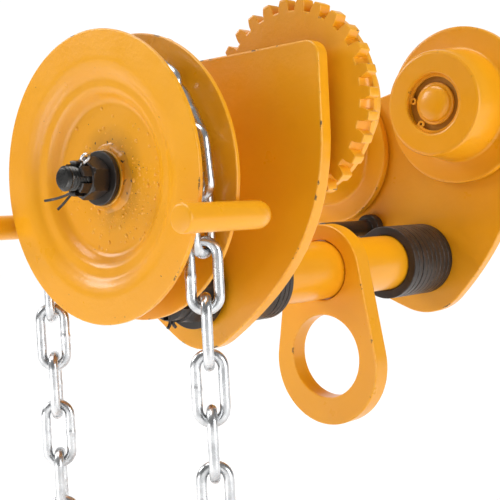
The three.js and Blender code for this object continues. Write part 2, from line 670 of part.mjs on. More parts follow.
function nextJoint(s, drop) {
  const [x0, z0] = routePoint(s, drop);
  let low = s + CHAIN_PITCH * 0.9;
  let high = s + CHAIN_PITCH * 1.2;
  for (let i = 0; i < 40; i += 1) {
    const middle = (low + high) / 2;
    const [x, z] = routePoint(middle, drop);
    if (Math.hypot(x - x0, z - z0) < CHAIN_PITCH) low = middle;
    else high = middle;
  }
  return low;
}

function layJoints(drop) {
  const joints = [drop + FIRST_JOINT_Z];
  for (let i = 0; i < CHAIN_LINKS; i += 1) joints.push(nextJoint(joints[i], drop));
  return joints;
}

// The straight drop for which the last link ends where the first one starts.
function closingDrop() {
  let low = 120;
  let high = 320;
  for (let i = 0; i < 40; i += 1) {
    const drop = (low + high) / 2;
    const joints = layJoints(drop);
    const lap = 2 * Math.PI * CHAIN_R + 2 * drop;
    if (joints[CHAIN_LINKS] - joints[0] > lap) low = drop;
    else high = drop;
  }
  return (low + high) / 2;
}

const CHAIN_DROP = closingDrop();
const chainJoints = layJoints(CHAIN_DROP).map((s) => routePoint(s, CHAIN_DROP));

function smoothStep(t) {
  const c = Math.min(1, Math.max(0, t));
  return c * c * (3 - 2 * c);
}

// Centre, direction and twist of each link. Even links lie flat in the wheel's pockets, odd
// links stand on edge in its middle groove.
function linkPose(i) {
  const [x0, z0] = chainJoints[i];
  const [x1, z1] = chainJoints[i + 1];
  const x = (x0 + x1) / 2;
  const z = (z0 + z1) / 2;
  const angle = Math.atan2(z1 - z0, x1 - x0);
  const below = smoothStep((-8 - z) / 40);
  const twist = CHAIN_TWIST * Math.min(1, Math.max(-1, x / 40)) * below;
  return { x, z, angle, twist, flat: i % 2 === 0 };
}

// A rounded link: a torus split at its middle and drawn out along X.
function linkGeometry(pose, innerLength) {
  const bendR = (CHAIN_LINK_W - CHAIN_WIRE) / 2;
  const stretch = (innerLength + CHAIN_WIRE) / 2 - bendR;
  const link = new THREE.TorusGeometry(bendR, CHAIN_WIRE / 2, 4, 8).rotateZ(Math.PI / 8);
  link.rotateZ(Math.PI / 2);
  const position = link.attributes.position;
  for (let k = 0; k < position.count; k += 1) {
    position.setX(k, position.getX(k) + Math.sign(position.getX(k)) * stretch);
  }
  // The torus lies in X and Y, which is the flat way round. The twist is about its length.
  link.rotateX(pose.twist + (pose.flat ? 0 : Math.PI / 2));
  link.rotateY(-pose.angle);
  return link.translate(pose.x, CHAIN_Y, pose.z + SHAFT_Z);
}

// The first two joints below the wheel are the hinge of the hanging loop. Links share metal
// with their neighbours within each run, so a run is one solid, and the runs keep apart.
const UPPER_LINKS = 10;
const FUSED_LENGTH = CHAIN_PITCH - 2.4;
const FREE_LENGTH = CHAIN_PITCH + 0.8;

function chainRun(first, count, freeEnds) {
  const links = [];
  for (let k = 0; k < count; k += 1) {
    const i = (first + k) % CHAIN_LINKS;
    const endLink = k === 0 || k === count - 1;
    const pose = linkPose(i);
    if (endLink && freeEnds) {
      // Draw the end link out at its free end only.
      const shift = (FREE_LENGTH - FUSED_LENGTH) / 4;
      const toward = k === 0 ? -1 : 1;
      pose.x += toward * shift * Math.cos(pose.angle);
      pose.z += toward * shift * Math.sin(pose.angle);
      links.push(linkGeometry(pose, (FREE_LENGTH + FUSED_LENGTH) / 2));
    } else {
      links.push(linkGeometry(pose, FUSED_LENGTH));
    }
  }
  return join(...links);
}

addPiece("hand_chain_upper", chainRun(0, UPPER_LINKS, true), ZINC);

// The hanging loop is five short runs. None of them ends where the chain untwists at the bottom.
let firstLink = UPPER_LINKS;
[4, 3, 4, 3, 4].forEach((count, run) => {
  addPiece(`hand_chain_loop_${run + 1}`, chainRun(firstLink, count, true), ZINC);
  firstLink += count;
});

// ---- Pocket ring --------------------------------------------------------------------------
// Fills the groove between the two discs. Pairs of lugs stand between the flat links.
const POCKET_FLOOR_R = 45.5;
const LUG_TIP_R = 52.5;
const LUG_L = 9;
const LUG_INNER = 3.2; // the standing links pass between the lugs of a pair
const LUG_OUTER = 5;

const pocketBlank = turned([
  [HUB_R + GAP, 12],
  [40.3, 12],
  [43, 9.2],
  [POCKET_FLOOR_R, 8.2],
  [POCKET_FLOOR_R, HAND_WHEEL_W - 8.2],
  [43, HAND_WHEEL_W - 9.2],
  [40.3, HAND_WHEEL_W - 12],
  [HUB_R + GAP, HAND_WHEEL_W - 12],
  [HUB_R + GAP, 12],
], 28);

// A standing link on the wheel gives the lugs their angles.
const standing = linkPose(5);
const lugPhase = Math.atan2(standing.z, standing.x);
const lugs = [];
for (let i = 0; i < LINKS_PER_TURN / 2; i += 1) {
  const a = lugPhase + (i * 4 * Math.PI) / LINKS_PER_TURN;
  for (const side of [-1, 1]) {
    const rootR = POCKET_FLOOR_R - 2;
    const width = LUG_OUTER - LUG_INNER;
    const block = new THREE.BoxGeometry(LUG_TIP_R - rootR, width, LUG_L);
    block.translate((LUG_TIP_R + rootR) / 2, (side * (LUG_INNER + LUG_OUTER)) / 2, 0);
    lugs.push(block.rotateY(-a).translate(0, HAND_WHEEL_W / 2, 0));
  }
}
const pocketRing = join(pocketBlank, ...lugs).translate(0, HAND_Y, SHAFT_Z);
addPiece("pocket_ring", pocketRing, PAINT);

// ---- Chain guide --------------------------------------------------------------------------
// One round bar: across behind the hand wheel, then forward past both sides of its rim.
const GUIDE_R = 6.5;
const GUIDE_X = 77;
const GUIDE_DROP = 21.3;
const GUIDE_BEND_R = 12;
const GUIDE_BACK_Y = HAND_Y + 36;
const GUIDE_END_Y = HAND_Y - 19.2;

function chainGuide() {
  const route = new THREE.CurvePath();
  const corner = (side, from, to) => {
    const cx = side * (GUIDE_X - GUIDE_BEND_R);
    const cy = GUIDE_BACK_Y - GUIDE_BEND_R;
    const at = (a) => new THREE.Vector3(
      cx + GUIDE_BEND_R * Math.cos(a),
      cy + GUIDE_BEND_R * Math.sin(a),
      0,
    );
    const steps = 6;
    for (let i = 0; i < steps; i += 1) {
      const a = from + ((to - from) * i) / steps;
      const b = from + ((to - from) * (i + 1)) / steps;
      route.add(new THREE.LineCurve3(at(a), at(b)));
    }
  };
  const start = new THREE.Vector3(-GUIDE_X, GUIDE_END_Y, 0);
  route.add(new THREE.LineCurve3(start, new THREE.Vector3(-GUIDE_X, GUIDE_BACK_Y - GUIDE_BEND_R, 0)));
  corner(-1, Math.PI, Math.PI / 2);
  route.add(new THREE.LineCurve3(
    new THREE.Vector3(-GUIDE_X + GUIDE_BEND_R, GUIDE_BACK_Y, 0),
    new THREE.Vector3(GUIDE_X - GUIDE_BEND_R, GUIDE_BACK_Y, 0),
  ));
  corner(1, Math.PI / 2, 0);
  const end = new THREE.Vector3(GUIDE_X, GUIDE_END_Y, 0);
  route.add(new THREE.LineCurve3(new THREE.Vector3(GUIDE_X, GUIDE_BACK_Y - GUIDE_BEND_R, 0), end));
  const section = new THREE.Shape();
  section.absarc(0, 0, GUIDE_R, 0, 2 * Math.PI, false);
  return new THREE.ExtrudeGeometry(section, { steps: 36, extrudePath: route, curveSegments: 4 });
}
addPiece("chain_guide", chainGuide().translate(0, 0, SHAFT_Z - GUIDE_DROP), PAINT);

export default trolley;
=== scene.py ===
"""Looks of the hand-geared beam trolley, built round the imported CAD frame. Millimetres in, metres out."""
import random
from math import acos, asin, atan2, cos, dist, exp, hypot, pi, radians, sin, sqrt, tan

import bmesh
import bpy
from mathutils import Matrix, Vector
from mathutils.geometry import tessellate_polygon


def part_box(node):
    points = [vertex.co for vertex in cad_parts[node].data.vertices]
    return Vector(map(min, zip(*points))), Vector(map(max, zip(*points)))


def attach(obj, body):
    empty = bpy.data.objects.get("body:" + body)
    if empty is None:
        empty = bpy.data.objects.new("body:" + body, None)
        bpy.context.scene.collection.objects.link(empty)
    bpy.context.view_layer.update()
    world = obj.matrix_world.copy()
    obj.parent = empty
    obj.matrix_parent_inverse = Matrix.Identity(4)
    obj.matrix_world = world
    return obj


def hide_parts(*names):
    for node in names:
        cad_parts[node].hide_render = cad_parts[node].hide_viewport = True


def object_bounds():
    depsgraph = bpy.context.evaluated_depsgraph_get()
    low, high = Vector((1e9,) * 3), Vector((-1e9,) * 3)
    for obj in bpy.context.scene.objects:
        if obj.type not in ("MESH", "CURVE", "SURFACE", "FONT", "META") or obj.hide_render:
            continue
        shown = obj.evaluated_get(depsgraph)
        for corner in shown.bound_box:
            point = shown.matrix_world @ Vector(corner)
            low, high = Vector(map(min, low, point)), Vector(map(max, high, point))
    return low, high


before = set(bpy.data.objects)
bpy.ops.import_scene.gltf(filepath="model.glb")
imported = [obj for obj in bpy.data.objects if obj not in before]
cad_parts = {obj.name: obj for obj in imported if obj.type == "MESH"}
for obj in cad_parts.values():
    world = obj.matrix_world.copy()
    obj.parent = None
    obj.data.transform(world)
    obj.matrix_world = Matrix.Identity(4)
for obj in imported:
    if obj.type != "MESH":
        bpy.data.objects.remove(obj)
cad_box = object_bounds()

MM = 0.001
TAU = 2 * pi

# ---- Dimensions, the same as the CAD model's (mm) ----
GAP = 0.3
PLATE_T = 7.5
PLATE_GAP = 208.4
PLATE_HALF_W = 87.3
PLATE_TOP = 59.7
DRIVE_LOBE_R = 34.5
FAR_LOBE_R = 37.0

MODULE = 3.5
GEAR_TEETH = 28
PINION_TEETH = 9
PRESSURE_ANGLE = radians(20)
GEAR_TIP_R = 50.6
PINION_TIP_R = 19.3
BACKLASH = 0.35
CENTRE_DISTANCE = (GEAR_TEETH + PINION_TEETH) * MODULE / 2

AXLE_ABOVE_SHAFT = 33.9
AXLE_X = sqrt(CENTRE_DISTANCE**2 - AXLE_ABOVE_SHAFT**2)
AXLE_Z = 34.6
SHAFT_Z = AXLE_Z - AXLE_ABOVE_SHAFT
BAR_BELOW_SHAFT = 56.2
BAR_Z = SHAFT_Z - BAR_BELOW_SHAFT
BAR_R = 17.5
BAR_THREAD_R = 12.0
FAR_TURN = radians(12.2)

DRIVE_IN_Y = -PLATE_GAP / 2
DRIVE_OUT_Y = DRIVE_IN_Y - PLATE_T
FAR_IN_Y = PLATE_GAP / 2
FAR_OUT_Y = FAR_IN_Y + PLATE_T

HAND_Y = DRIVE_OUT_Y - 65.2
HAND_WHEEL_R = 70.5
HAND_WHEEL_W = 26.4
HAND_WHEEL_SHEET = 2.5
CHAIN_Y = HAND_Y + HAND_WHEEL_W / 2
HUB_R = 14.0
HUB_FRONT_Y = HAND_Y + 5
HUB_BACK_Y = HAND_Y + 30
DISH_DEPTH = 9.0
LEDGE_DEPTH = 4.0


# ---- Mesh helpers ----
FINEST_FACE = 0.25  # mm; faces closer than this count as this far apart, so tiny ones don't stand out
WEAR_AND_HIGHLIGHT_PER_BEND = 0.9  # wear and painted edge highlight for each radian per millimetre of outward curve
WEAR_AND_HIGHLIGHT_FROM = 0.25  # and what is taken off it, which leaves flat faces unworn and without the painted highlight
MERGE = 2e-6  # metres


def new_object(name, verts, faces):
    """A mesh object from points in millimetres."""
    mesh = bpy.data.meshes.new(name)
    mesh.from_pydata([tuple(c * MM for c in v) for v in verts], [], faces)
    made = bpy.data.objects.new(name, mesh)
    bpy.context.scene.collection.objects.link(made)
    return made


def make_piece(name, verts, faces, look, body, nodes=(), matrix=None, sharp=32, weighted=False):
    """One closed mesh from points in millimetres, riding on a body and standing for its nodes."""
    piece = new_object(name, verts, faces)
    if matrix is not None:
        piece.data.transform(matrix)
    return finish_piece(piece, look, body, nodes, sharp, weighted)


def finish_piece(piece, look, body, nodes=(), sharp=32, weighted=False):
    """Cleans the mesh, measures its convex edges for wear and a painted edge highlight, and gives it its
    look, body and CAD nodes.
    """
    mesh = piece.data
    bm = bmesh.new()
    bm.from_mesh(mesh)
    bmesh.ops.remove_doubles(bm, verts=bm.verts, dist=MERGE)
    bmesh.ops.dissolve_degenerate(bm, edges=bm.edges, dist=1e-7)
    bmesh.ops.recalc_face_normals(bm, faces=bm.faces)
    bm.faces.index_update()
    centres = [f.calc_center_median() / MM for f in bm.faces]
    edge_highlight_and_wear = []
    for v in bm.verts:
        bend = 0.0  # the sharpest outward curve at this point, in radians per millimetre
        for e in v.link_edges:
            if len(e.link_faces) == 2:
                apart = (centres[e.link_faces[0].index] - centres[e.link_faces[1].index]).length
                bend = max(bend, e.calc_face_angle_signed(0.0) / max(apart, FINEST_FACE))
        edge_highlight_and_wear.append(max(0.0, min(1.0, bend * WEAR_AND_HIGHLIGHT_PER_BEND - WEAR_AND_HIGHLIGHT_FROM)))
    bm.to_mesh(mesh)
    bm.free()
    attribute = mesh.attributes.new("edge_wear_and_highlight", "FLOAT", "POINT")
    attribute.data.foreach_set("value", edge_highlight_and_wear)
    mesh.shade_smooth()
    mesh.set_sharp_from_angle(angle=radians(sharp))
    mesh.materials.clear()
    mesh.materials.append(LOOKS[look][0])
    if weighted:
        modifier = piece.modifiers.new("weighted", "WEIGHTED_NORMAL")
        modifier.keep_sharp = True
    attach(piece, body)
    if nodes:
        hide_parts(*nodes)
    return piece


def grid_faces(rows, columns, first, close_rows=False):
    """Quads between consecutive rings of `columns` points."""
    faces = []
    for i in range(rows if close_rows else rows - 1):
        a = first + i * columns
        b = first + ((i + 1) % rows) * columns
        for j in range(columns):
            k = (j + 1) % columns
            faces.append((a + j, a + k, b + k, b + j))
    return faces


def revolve(rings, angles, x=0.0, z=0.0):
    """Rings of (radius or function of index, y) about a line along Y. Radius 0 closes an end."""
    verts = []
    count = len(angles)
    for radius, y in rings:
        for j, a in enumerate(angles):
            r = radius(j) if callable(radius) else radius
            verts.append((x + r * cos(a), y, z + r * sin(a)))
    closed = rings[0][0] != 0
    return verts, grid_faces(len(rings), count, 0, close_rows=closed)


def spun(name, rings, angles, look, body, nodes=(), x=0.0, z=0.0, sharp=32):
    """A piece revolved from its rings."""
    verts, faces = revolve(rings, angles, x, z)
    return make_piece(name, verts, faces, look, body, nodes, sharp=sharp)


def even(count):
    """Equal steps round a turn."""
    return [TAU * j / count for j in range(count)]


def rounded(profile, radius, steps=4, closed=True):
    """The profile with each corner turned into an arc, and a support point beside each arc."""
    out = []
    n = len(profile)
    for i, (r, y) in enumerate(profile):
        if not closed and i in (0, n - 1):
            out.append((r, y))
            continue
        p = Vector((r, y))
        a = Vector(profile[i - 1]) - p
        b = Vector(profile[(i + 1) % n]) - p
        own = radius[i] if isinstance(radius, (list, tuple)) else radius
        reach = min(own, a.length * 0.42, b.length * 0.42)
        if reach < 0.02 or a.normalized().dot(b.normalized()) < -0.999:
            out.append((r, y))
            continue
        start = p + a.normalized() * reach
        end = p + b.normalized() * reach
        out.append(tuple(p + a.normalized() * min(reach * 1.35, a.length * 0.48)))
        for k in range(steps + 1):
            t = k / steps
            out.append(tuple(start * (1 - t) ** 2 + p * 2 * t * (1 - t) + end * t * t))
        out.append(tuple(p + b.normalized() * min(reach * 1.35, b.length * 0.48)))
    return out


def turned(name, profile, look, body, nodes=(), x=0.0, z=0.0, edge=0.5, segments=128, closed=True):
    """A piece turned about a line along Y, with its corners rounded."""
    rings = rounded(profile, edge, closed=closed) if edge else list(profile)
    return spun(name, rings, even(segments), look, body, nodes, x, z)


def bush(name, inner, outer, y0, y1, look, body, nodes=(), x=0.0, z=0.0, edge=0.4, segments=128):
    """A plain ring between y0 and y1."""
    profile = [(inner, y0), (outer, y0), (outer, y1), (inner, y1)]
    return turned(name, profile, look, body, nodes, x, z, edge, segments)


def signed_area(loop):
    """Above 0 for a loop that runs anticlockwise."""
    return sum(a[0] * b[1] - b[0] * a[1] for a, b in zip(loop, loop[1:] + loop[:1])) / 2


def inset(loop, distance):
    """The loop moved to its left, which is into the material."""
    out = []
    n = len(loop)
    for i in range(n):
        p = Vector(loop[i])
        before = (p - Vector(loop[i - 1])).normalized()
        after = (Vector(loop[(i + 1) % n]) - p).normalized()
        left = Vector((-before.y - after.y, before.x + after.x))
        if left.length < 1e-6:
            left = Vector((-after.y, after.x))
        left.normalize()
        slant = max(0.5, left.dot(Vector((-after.y, after.x))))
        out.append(tuple(p + left * (distance / slant)))
    return out


def slab(name, outer, holes, y0, y1, look, body, nodes=(), edge=0.6, matrix=None):
    """A plate between y0 and y1 with rounded edges, from an outline and its holes in X and Z."""
    loops = [outer if signed_area(outer) > 0 else outer[::-1]]
    loops += [h if signed_area(h) < 0 else h[::-1] for h in holes]
    steps = 4
    levels = [(edge + 0.5, y0)]
    for k in range(steps, -1, -1):
        a = k / steps * pi / 2
        levels.append((edge * (1 - cos(a)), y0 + edge * (1 - sin(a))))
    levels.append((0.0, y0 + edge + 0.4))
    levels += [(d, y0 + y1 - y) for d, y in reversed(levels)]
    verts = []
    faces = []
    first = []
    for loop in loops:
        start = len(verts)
        first.append(start)
        for depth, y in levels:
            verts += [(px, y, pz) for px, pz in inset(loop, depth)]
        faces += grid_faces(len(levels), len(loop), start)
    for level in (0, len(levels) - 1):
        polygons = []
        index = []
        for start, loop in zip(first, loops):
            base = start + level * len(loop)
            index += range(base, base + len(loop))
            polygons.append([Vector((px, pz, 0)) for px, _, pz in verts[base : base + len(loop)]])
        faces += [tuple(index[k] for k in triangle) for triangle in tessellate_polygon(polygons)]
    return make_piece(name, verts, faces, look, body, nodes, matrix, weighted=True)


def sweep_points(path, radius, closed=False, sides=20):
    """A round bar along a path. `radius` is a number or one number per point."""
    n = len(path)
    points = [Vector(p) for p in path]
    tangents = []
    for i in range(n):
        a = points[i - 1] if closed or i > 0 else points[i]
        b = points[(i + 1) % n] if closed or i < n - 1 else points[i]
        tangents.append((b - a).normalized())
    normal = tangents[0].orthogonal().normalized()
    verts = []
    for i in range(n):
        if i:
            normal = (tangents[i - 1].rotation_difference(tangents[i]) @ normal).normalized()
        side = tangents[i].cross(normal)
        r = radius[i] if isinstance(radius, (list, tuple)) else radius
        for j in range(sides):
            a = TAU * j / sides
            verts.append(tuple(points[i] + (normal * cos(a) + side * sin(a)) * r))
    faces = grid_faces(n, sides, 0, close_rows=closed)
    if not closed:
        faces.append(tuple(range(sides))[::-1])
        faces.append(tuple(range((n - 1) * sides, n * sides)))
    return verts, faces


def combine(parts):
    """Several (verts, faces) pairs as one."""
    verts = []
    faces = []
    for part_verts, part_faces in parts:
        shift = len(verts)
        verts += part_verts
        faces += [tuple(i + shift for i in f) for f in part_faces]
    return verts, faces


def bare_object(name, verts, faces):
    """A closed mesh without a look or a body as yet."""
    made = new_object(name, verts, faces)
    bm = bmesh.new()
    bm.from_mesh(made.data)
    bmesh.ops.remove_doubles(bm, verts=bm.verts, dist=MERGE)
    bmesh.ops.recalc_face_normals(bm, faces=bm.faces)
    bm.to_mesh(made.data)
    bm.free()
    return made


def boolean(target, tools, operation="DIFFERENCE"):
    """Applies each tool to the target, and removes the tools."""
    for tool in tools:
        modifier = target.modifiers.new("boolean", "BOOLEAN")
        modifier.operation = operation
        modifier.solver = "EXACT"
        modifier.object = tool
    evaluated = target.evaluated_get(bpy.context.evaluated_depsgraph_get())
    mesh = bpy.data.meshes.new_from_object(evaluated)
    target.modifiers.clear()
    target.data = mesh
    for tool in tools:
        bpy.data.objects.remove(tool)
    return target


def block(name, size, matrix):
    """A plain cutting block, used only as a boolean tool."""
    x, y, z = (s / 2 for s in size)
    corners = [(a * x, b * y, c * z) for a in (-1, 1) for b in (-1, 1) for c in (-1, 1)]
    verts = [tuple(matrix @ Vector(c)) for c in corners]
    faces = [(0, 1, 3, 2), (4, 6, 7, 5), (0, 4, 5, 1), (2, 3, 7, 6), (0, 2, 6, 4), (1, 5, 7, 3)]
    return bare_object(name, verts, faces)


def arc(cx, cz, r, start, end, steps):
    """Points along an arc, both ends included."""
    turns = [start + (end - start) * k / steps for k in range(steps + 1)]
    return [(cx + r * cos(a), cz + r * sin(a)) for a in turns]


def circle(cx, cz, r, count=96):
    """A closed loop of points."""
    return [(cx + r * cos(a), cz + r * sin(a)) for a in even(count)]


def bezier(p0, p1, p2, p3, steps):
    """Points along a cubic curve, both ends included."""
    out = []
    for k in range(steps + 1):
        t = k / steps
        c = ((1 - t) ** 3, 3 * t * (1 - t) ** 2, 3 * t * t * (1 - t), t**3)
        out.append(tuple(sum(w * p[i] for w, p in zip(c, (p0, p1, p2, p3))) for i in (0, 1)))
    return out


def tidy_loop(points):
    """The loop without points that lie on top of each other."""
    out = []
    for p in points:
        if not out or dist(p, out[-1]) > 0.02:
            out.append(p)
    if dist(out[0], out[-1]) < 0.02:
        out.pop()
    return out


# ---- Materials ----
class NodeTree:
    """A node tree with short ways to add the nodes that the looks are made of."""

    def __init__(self, tree):
        self.nodes = tree.nodes
        self.links = tree.links

    def fill(self, node, inputs):
        """Sets each input to a value, or links it to a socket."""
        for key, value in inputs.items():
            if isinstance(value, bpy.types.NodeSocket):
                self.links.new(value, node.inputs[key])
            else:
                node.inputs[key].default_value = value

    def add(self, kind, inputs, **settings):
        """A new node with these settings and inputs."""
        node = self.nodes.new("ShaderNode" + kind)
        for key, value in settings.items():
            setattr(node, key, value)
        self.fill(node, inputs)
        return node

    def coordinates(self, kind="Object"):
        return self.add("TexCoord", {}).outputs[kind]

    def convex_edges(self):
        """The convex edges that finish_piece measured, which carry wear and a painted edge highlight."""
        return self.add("Attribute", {}, attribute_name="edge_wear_and_highlight").outputs["Fac"]

    def noise(self, coords, scale, detail=3.0, rough=0.55):
        inputs = {"Vector": coords, "Scale": scale, "Detail": detail, "Roughness": rough}
        return self.add("TexNoise", inputs).outputs["Fac"]

    def remap(self, value, low, high, to_low=0.0, to_high=1.0):
        """The value taken from one range to another, and kept within it."""
        inputs = {"Value": value, "From Min": low, "From Max": high, "To Min": to_low, "To Max": to_high}
        return self.add("MapRange", inputs).outputs["Result"]

    def clouds(self, coords, scale, detail, low, high, to_low=0.0, to_high=1.0, rough=0.55):
        """Noise taken from one range to another."""
        return self.remap(self.noise(coords, scale, detail, rough), low, high, to_low, to_high)

    def math(self, operation, a, b):
        """A clamped sum, product or the like of two sockets or numbers."""
        return self.add("Math", {0: a, 1: b}, operation=operation, use_clamp=True).outputs["Value"]

    def mix(self, factor, a, b):
        """Colour a where the factor is 0, and b where it is 1."""
        a, b = ((*colour, 1) if isinstance(colour, tuple) else colour for colour in (a, b))
        return self.add("Mix", {"Factor": factor, 6: a, 7: b}, data_type="RGBA").outputs[2]

    def axis_distance(self, coords):
        """Metres from the drive shaft's axis."""
        inputs = {0: coords, 1: (1, 0, 1), 2: (0, 0, -SHAFT_Z * MM)}
        across = self.add("VectorMath", inputs, operation="MULTIPLY_ADD").outputs["Vector"]
        return self.add("VectorMath", {0: across}, operation="LENGTH").outputs["Value"]

    def bump(self, *layers):
        """Layers of (height, strength, distance in metres), each bump feeding the next."""
        last = {}
        for height, strength, distance in layers:
            inputs = {"Height": height, "Strength": strength, "Distance": distance, **last}
            last = {"Normal": self.add("Bump", inputs).outputs["Normal"]}
        return last["Normal"]


def new_material(name):
    """A material, its tree and its shader."""
    material = bpy.data.materials.new(name)
    material.use_nodes = True
    return material, NodeTree(material.node_tree), material.node_tree.nodes["Principled BSDF"]


YELLOW = (0.84, 0.365, 0.007)
DULL_YELLOW = (0.42, 0.19, 0.018)
# the colour of the painted highlight along convex edges
HIGHLIGHT_YELLOW = (0.95, 0.58, 0.12)
# the colour of the painted shade near the hub
HUB_SHADE = (0.26, 0.125, 0.010)
CHIPPED = (0.035, 0.028, 0.012)
SPECKS_AND_SHADE_FROM, SPECKS_AND_SHADE_TO = 0.016, 0.027  # metres from the shaft's axis over which the specks and the painted shade near the hub thin out


def paint_material(name, chips=0.5, hub_specks_and_shade=0.0, peel=0.35, base=YELLOW):
    """Glossy yellow-orange paint: orange peel, colour drift, dark chips, and pale edges that are a painted
    highlight.
    """
    material, tree, shader = new_material(name)
    coords = tree.coordinates()
    edge = tree.convex_edges()
    drift = tree.clouds(coords, 14, 2, 0.3, 0.7)
    deeper = tuple(c * k for c, k in zip(base, (0.95, 0.90, 0.8)))
    colour = tree.mix(drift, deeper, base)
    # Pale yellow along convex edges: a painted highlight where the gloss catches the light.
    edge_highlight_and_wear = tree.math("MULTIPLY", edge, tree.clouds(coords, 420, 4, 0.40, 0.62))
    colour = tree.mix(tree.math("MULTIPLY", edge_highlight_and_wear, 0.3), colour, HIGHLIGHT_YELLOW)
    chips_from = 0.68 - 0.07 * chips
    chips_to = 0.71 - 0.07 * chips
    chip = tree.math("MULTIPLY", edge, tree.clouds(coords, 120, 5, chips_from, chips_to, rough=0.65))
    if hub_specks_and_shade:
        field = tree.noise(coords, 420, 2, 0.5)
        near_hub = tree.remap(tree.axis_distance(coords), SPECKS_AND_SHADE_FROM, SPECKS_AND_SHADE_TO, hub_specks_and_shade, 0.0)
        level = tree.math("ADD", field, tree.math("MULTIPLY", near_hub, 0.10))
        patch = tree.clouds(coords, 60, 2, 0.44, 0.54)
        spots = tree.math("MULTIPLY", tree.remap(level, 0.755, 0.77), patch)
        chip = tree.math("MAXIMUM", chip, spots)
        # Darker paint near the hub: painted shade of the weld bead and of the crease where hub and dish
        # meet.
        hub_shade = tree.math("MULTIPLY", near_hub, tree.remap(patch, 0.0, 1.0, 0.2, 0.55))
        colour = tree.mix(hub_shade, colour, HUB_SHADE)
    colour = tree.mix(chip, colour, CHIPPED)
    normal = tree.bump(
        (tree.noise(coords, 420, 2), peel, 0.00025),
        (tree.noise(coords, 90, 3), peel * 0.6, 0.0006),
        (tree.math("SUBTRACT", 1.0, chip), 0.6, 0.0003),
    )
    inputs = {"Base Color": colour, "Roughness": tree.clouds(coords, 70, 4, 0.3, 0.7, 0.27, 0.40)}
    inputs |= {"Specular IOR Level": 0.4, "Coat Weight": 0.16, "Coat Roughness": 0.12, "Normal": normal}
    tree.fill(shader, inputs)
    return material


def black_material(name, rough=(0.30, 0.48), ridges=0.0):
    """Blackened steel: a warm black with a soft sheen and faint handling marks."""
    material, tree, shader = new_material(name)
    coords = tree.coordinates()
    edge = tree.convex_edges()
    cloud = tree.clouds(coords, 60, 4, 0.35, 0.7)
    colour = tree.mix(cloud, (0.016, 0.013, 0.012), (0.042, 0.034, 0.029))
    rub = tree.math("MULTIPLY", tree.clouds(coords, 300, 4, 0.5, 0.68), edge)
    colour = tree.mix(tree.math("MULTIPLY", rub, 0.5), colour, (0.14, 0.12, 0.11))
    layers = [(tree.noise(coords, 500, 3), 0.3, 0.0002)]
    if ridges:
        inputs = {"Vector": coords, "Scale": 300, "Distortion": 0.5}
        wave = tree.add("TexWave", inputs, wave_type="BANDS", bands_direction="Y")
        layers.append((wave.outputs["Fac"], ridges, 0.0002))
    inputs = {"Base Color": colour, "Roughness": tree.clouds(coords, 90, 4, 0.3, 0.7, *rough)}
    tree.fill(shader, inputs | {"Metallic": 0.25, "Normal": tree.bump(*layers)})
    return material


def metal_material(name, tint, dull, rough):
    """Bare or plated metal: bright and dull clouds, fine scratches and dents."""
    material, tree, shader = new_material(name)
    coords = tree.coordinates()
    cloud = tree.clouds(coords, 120, 5, 0.35, 0.68)
    normal = tree.bump((tree.noise(coords, 160, 3), 0.25, 0.0004), (tree.noise(coords, 900, 2), 0.2, 0.0001))
    roughness = tree.clouds(coords, 240, 4, 0.3, 0.7, *rough)
    inputs = {"Base Color": tree.mix(cloud, tint, dull), "Roughness": roughness}
    tree.fill(shader, inputs | {"Metallic": 1.0, "Normal": normal})
    return material


LOOKS = {
    "paint": (paint_material("paint", chips=1.0), "yellow_paint"),
    "paint_smooth": (paint_material("paint_smooth", chips=0.2, peel=0.2), "yellow_paint"),
    "overspray": (paint_material("overspray", chips=1.0, peel=0.6, base=DULL_YELLOW), "bare_steel"),
    "paint_disc": (paint_material("paint_disc", chips=1.0, hub_specks_and_shade=0.8, peel=0.4), "yellow_paint"),
    "paint_weld": (paint_material("paint_weld", chips=0.7, hub_specks_and_shade=1.0, peel=0.9), "yellow_paint"),
    "black": (black_material("black"), "black_steel"),
    "black_turned": (black_material("black_turned", rough=(0.34, 0.5), ridges=0.35), "black_steel"),
    "zinc": (metal_material("zinc", (0.76, 0.77, 0.78), (0.50, 0.51, 0.52), (0.20, 0.36)), "bright_zinc"),
    "dark_steel": (
        metal_material("dark_steel", (0.085, 0.083, 0.08), (0.04, 0.038, 0.035), (0.22, 0.4)),
        "black_steel",
    ),
    "steel": (metal_material("steel", (0.52, 0.52, 0.51), (0.34, 0.34, 0.33), (0.25, 0.42)), "bare_steel"),
    "bronze": (metal_material("bronze", (0.60, 0.40, 0.18), (0.42, 0.28, 0.12), (0.3, 0.45)), "bronze"),
}


# ---- Far frame placing ----
def far_point(x, above_bar):
    """A point of the far side frame, which hangs turned about the load bar."""
    c, s = cos(FAR_TURN), sin(FAR_TURN)
    return x * c - above_bar * s, BAR_Z + x * s + above_bar * c


FAR_MATRIX = Matrix.Translation((0, 0, BAR_Z * MM)) @ Matrix.Rotation(-FAR_TURN, 4, "Y")
DRIVE_MATRIX = Matrix.Translation((0, 0, BAR_Z * MM))


# ---- Side plates ----
def plate_outline(lobe_r):
    """A side plate's outline about the load bar: a straight top, sides that lean in, a round foot."""
    top = PLATE_TOP + BAR_BELOW_SHAFT
    corner = 8.0
    foot = radians(57)
    foot_x = lobe_r * cos(foot)
    foot_z = -lobe_r * sin(foot)
    lean_x = foot_x + 55 * sin(foot)
    lean_z = foot_z + 55 * cos(foot)
    side_z = BAR_BELOW_SHAFT + 20
    w = PLATE_HALF_W
    pull = side_z - 45  # the control point that keeps the sides upright near the top
    points = bezier((foot_x, foot_z), (lean_x, lean_z), (w, pull), (w, side_z), 48)
    points += arc(w - corner, top - corner, corner, 0, pi / 2, 14)
    points += arc(-w + corner, top - corner, corner, pi / 2, pi, 14)
    points += bezier((-w, side_z), (-w, pull), (-lean_x, lean_z), (-foot_x, foot_z), 48)
    points += arc(0, 0, lobe_r, pi + foot, TAU - foot, 32)
    return tidy_loop(points)


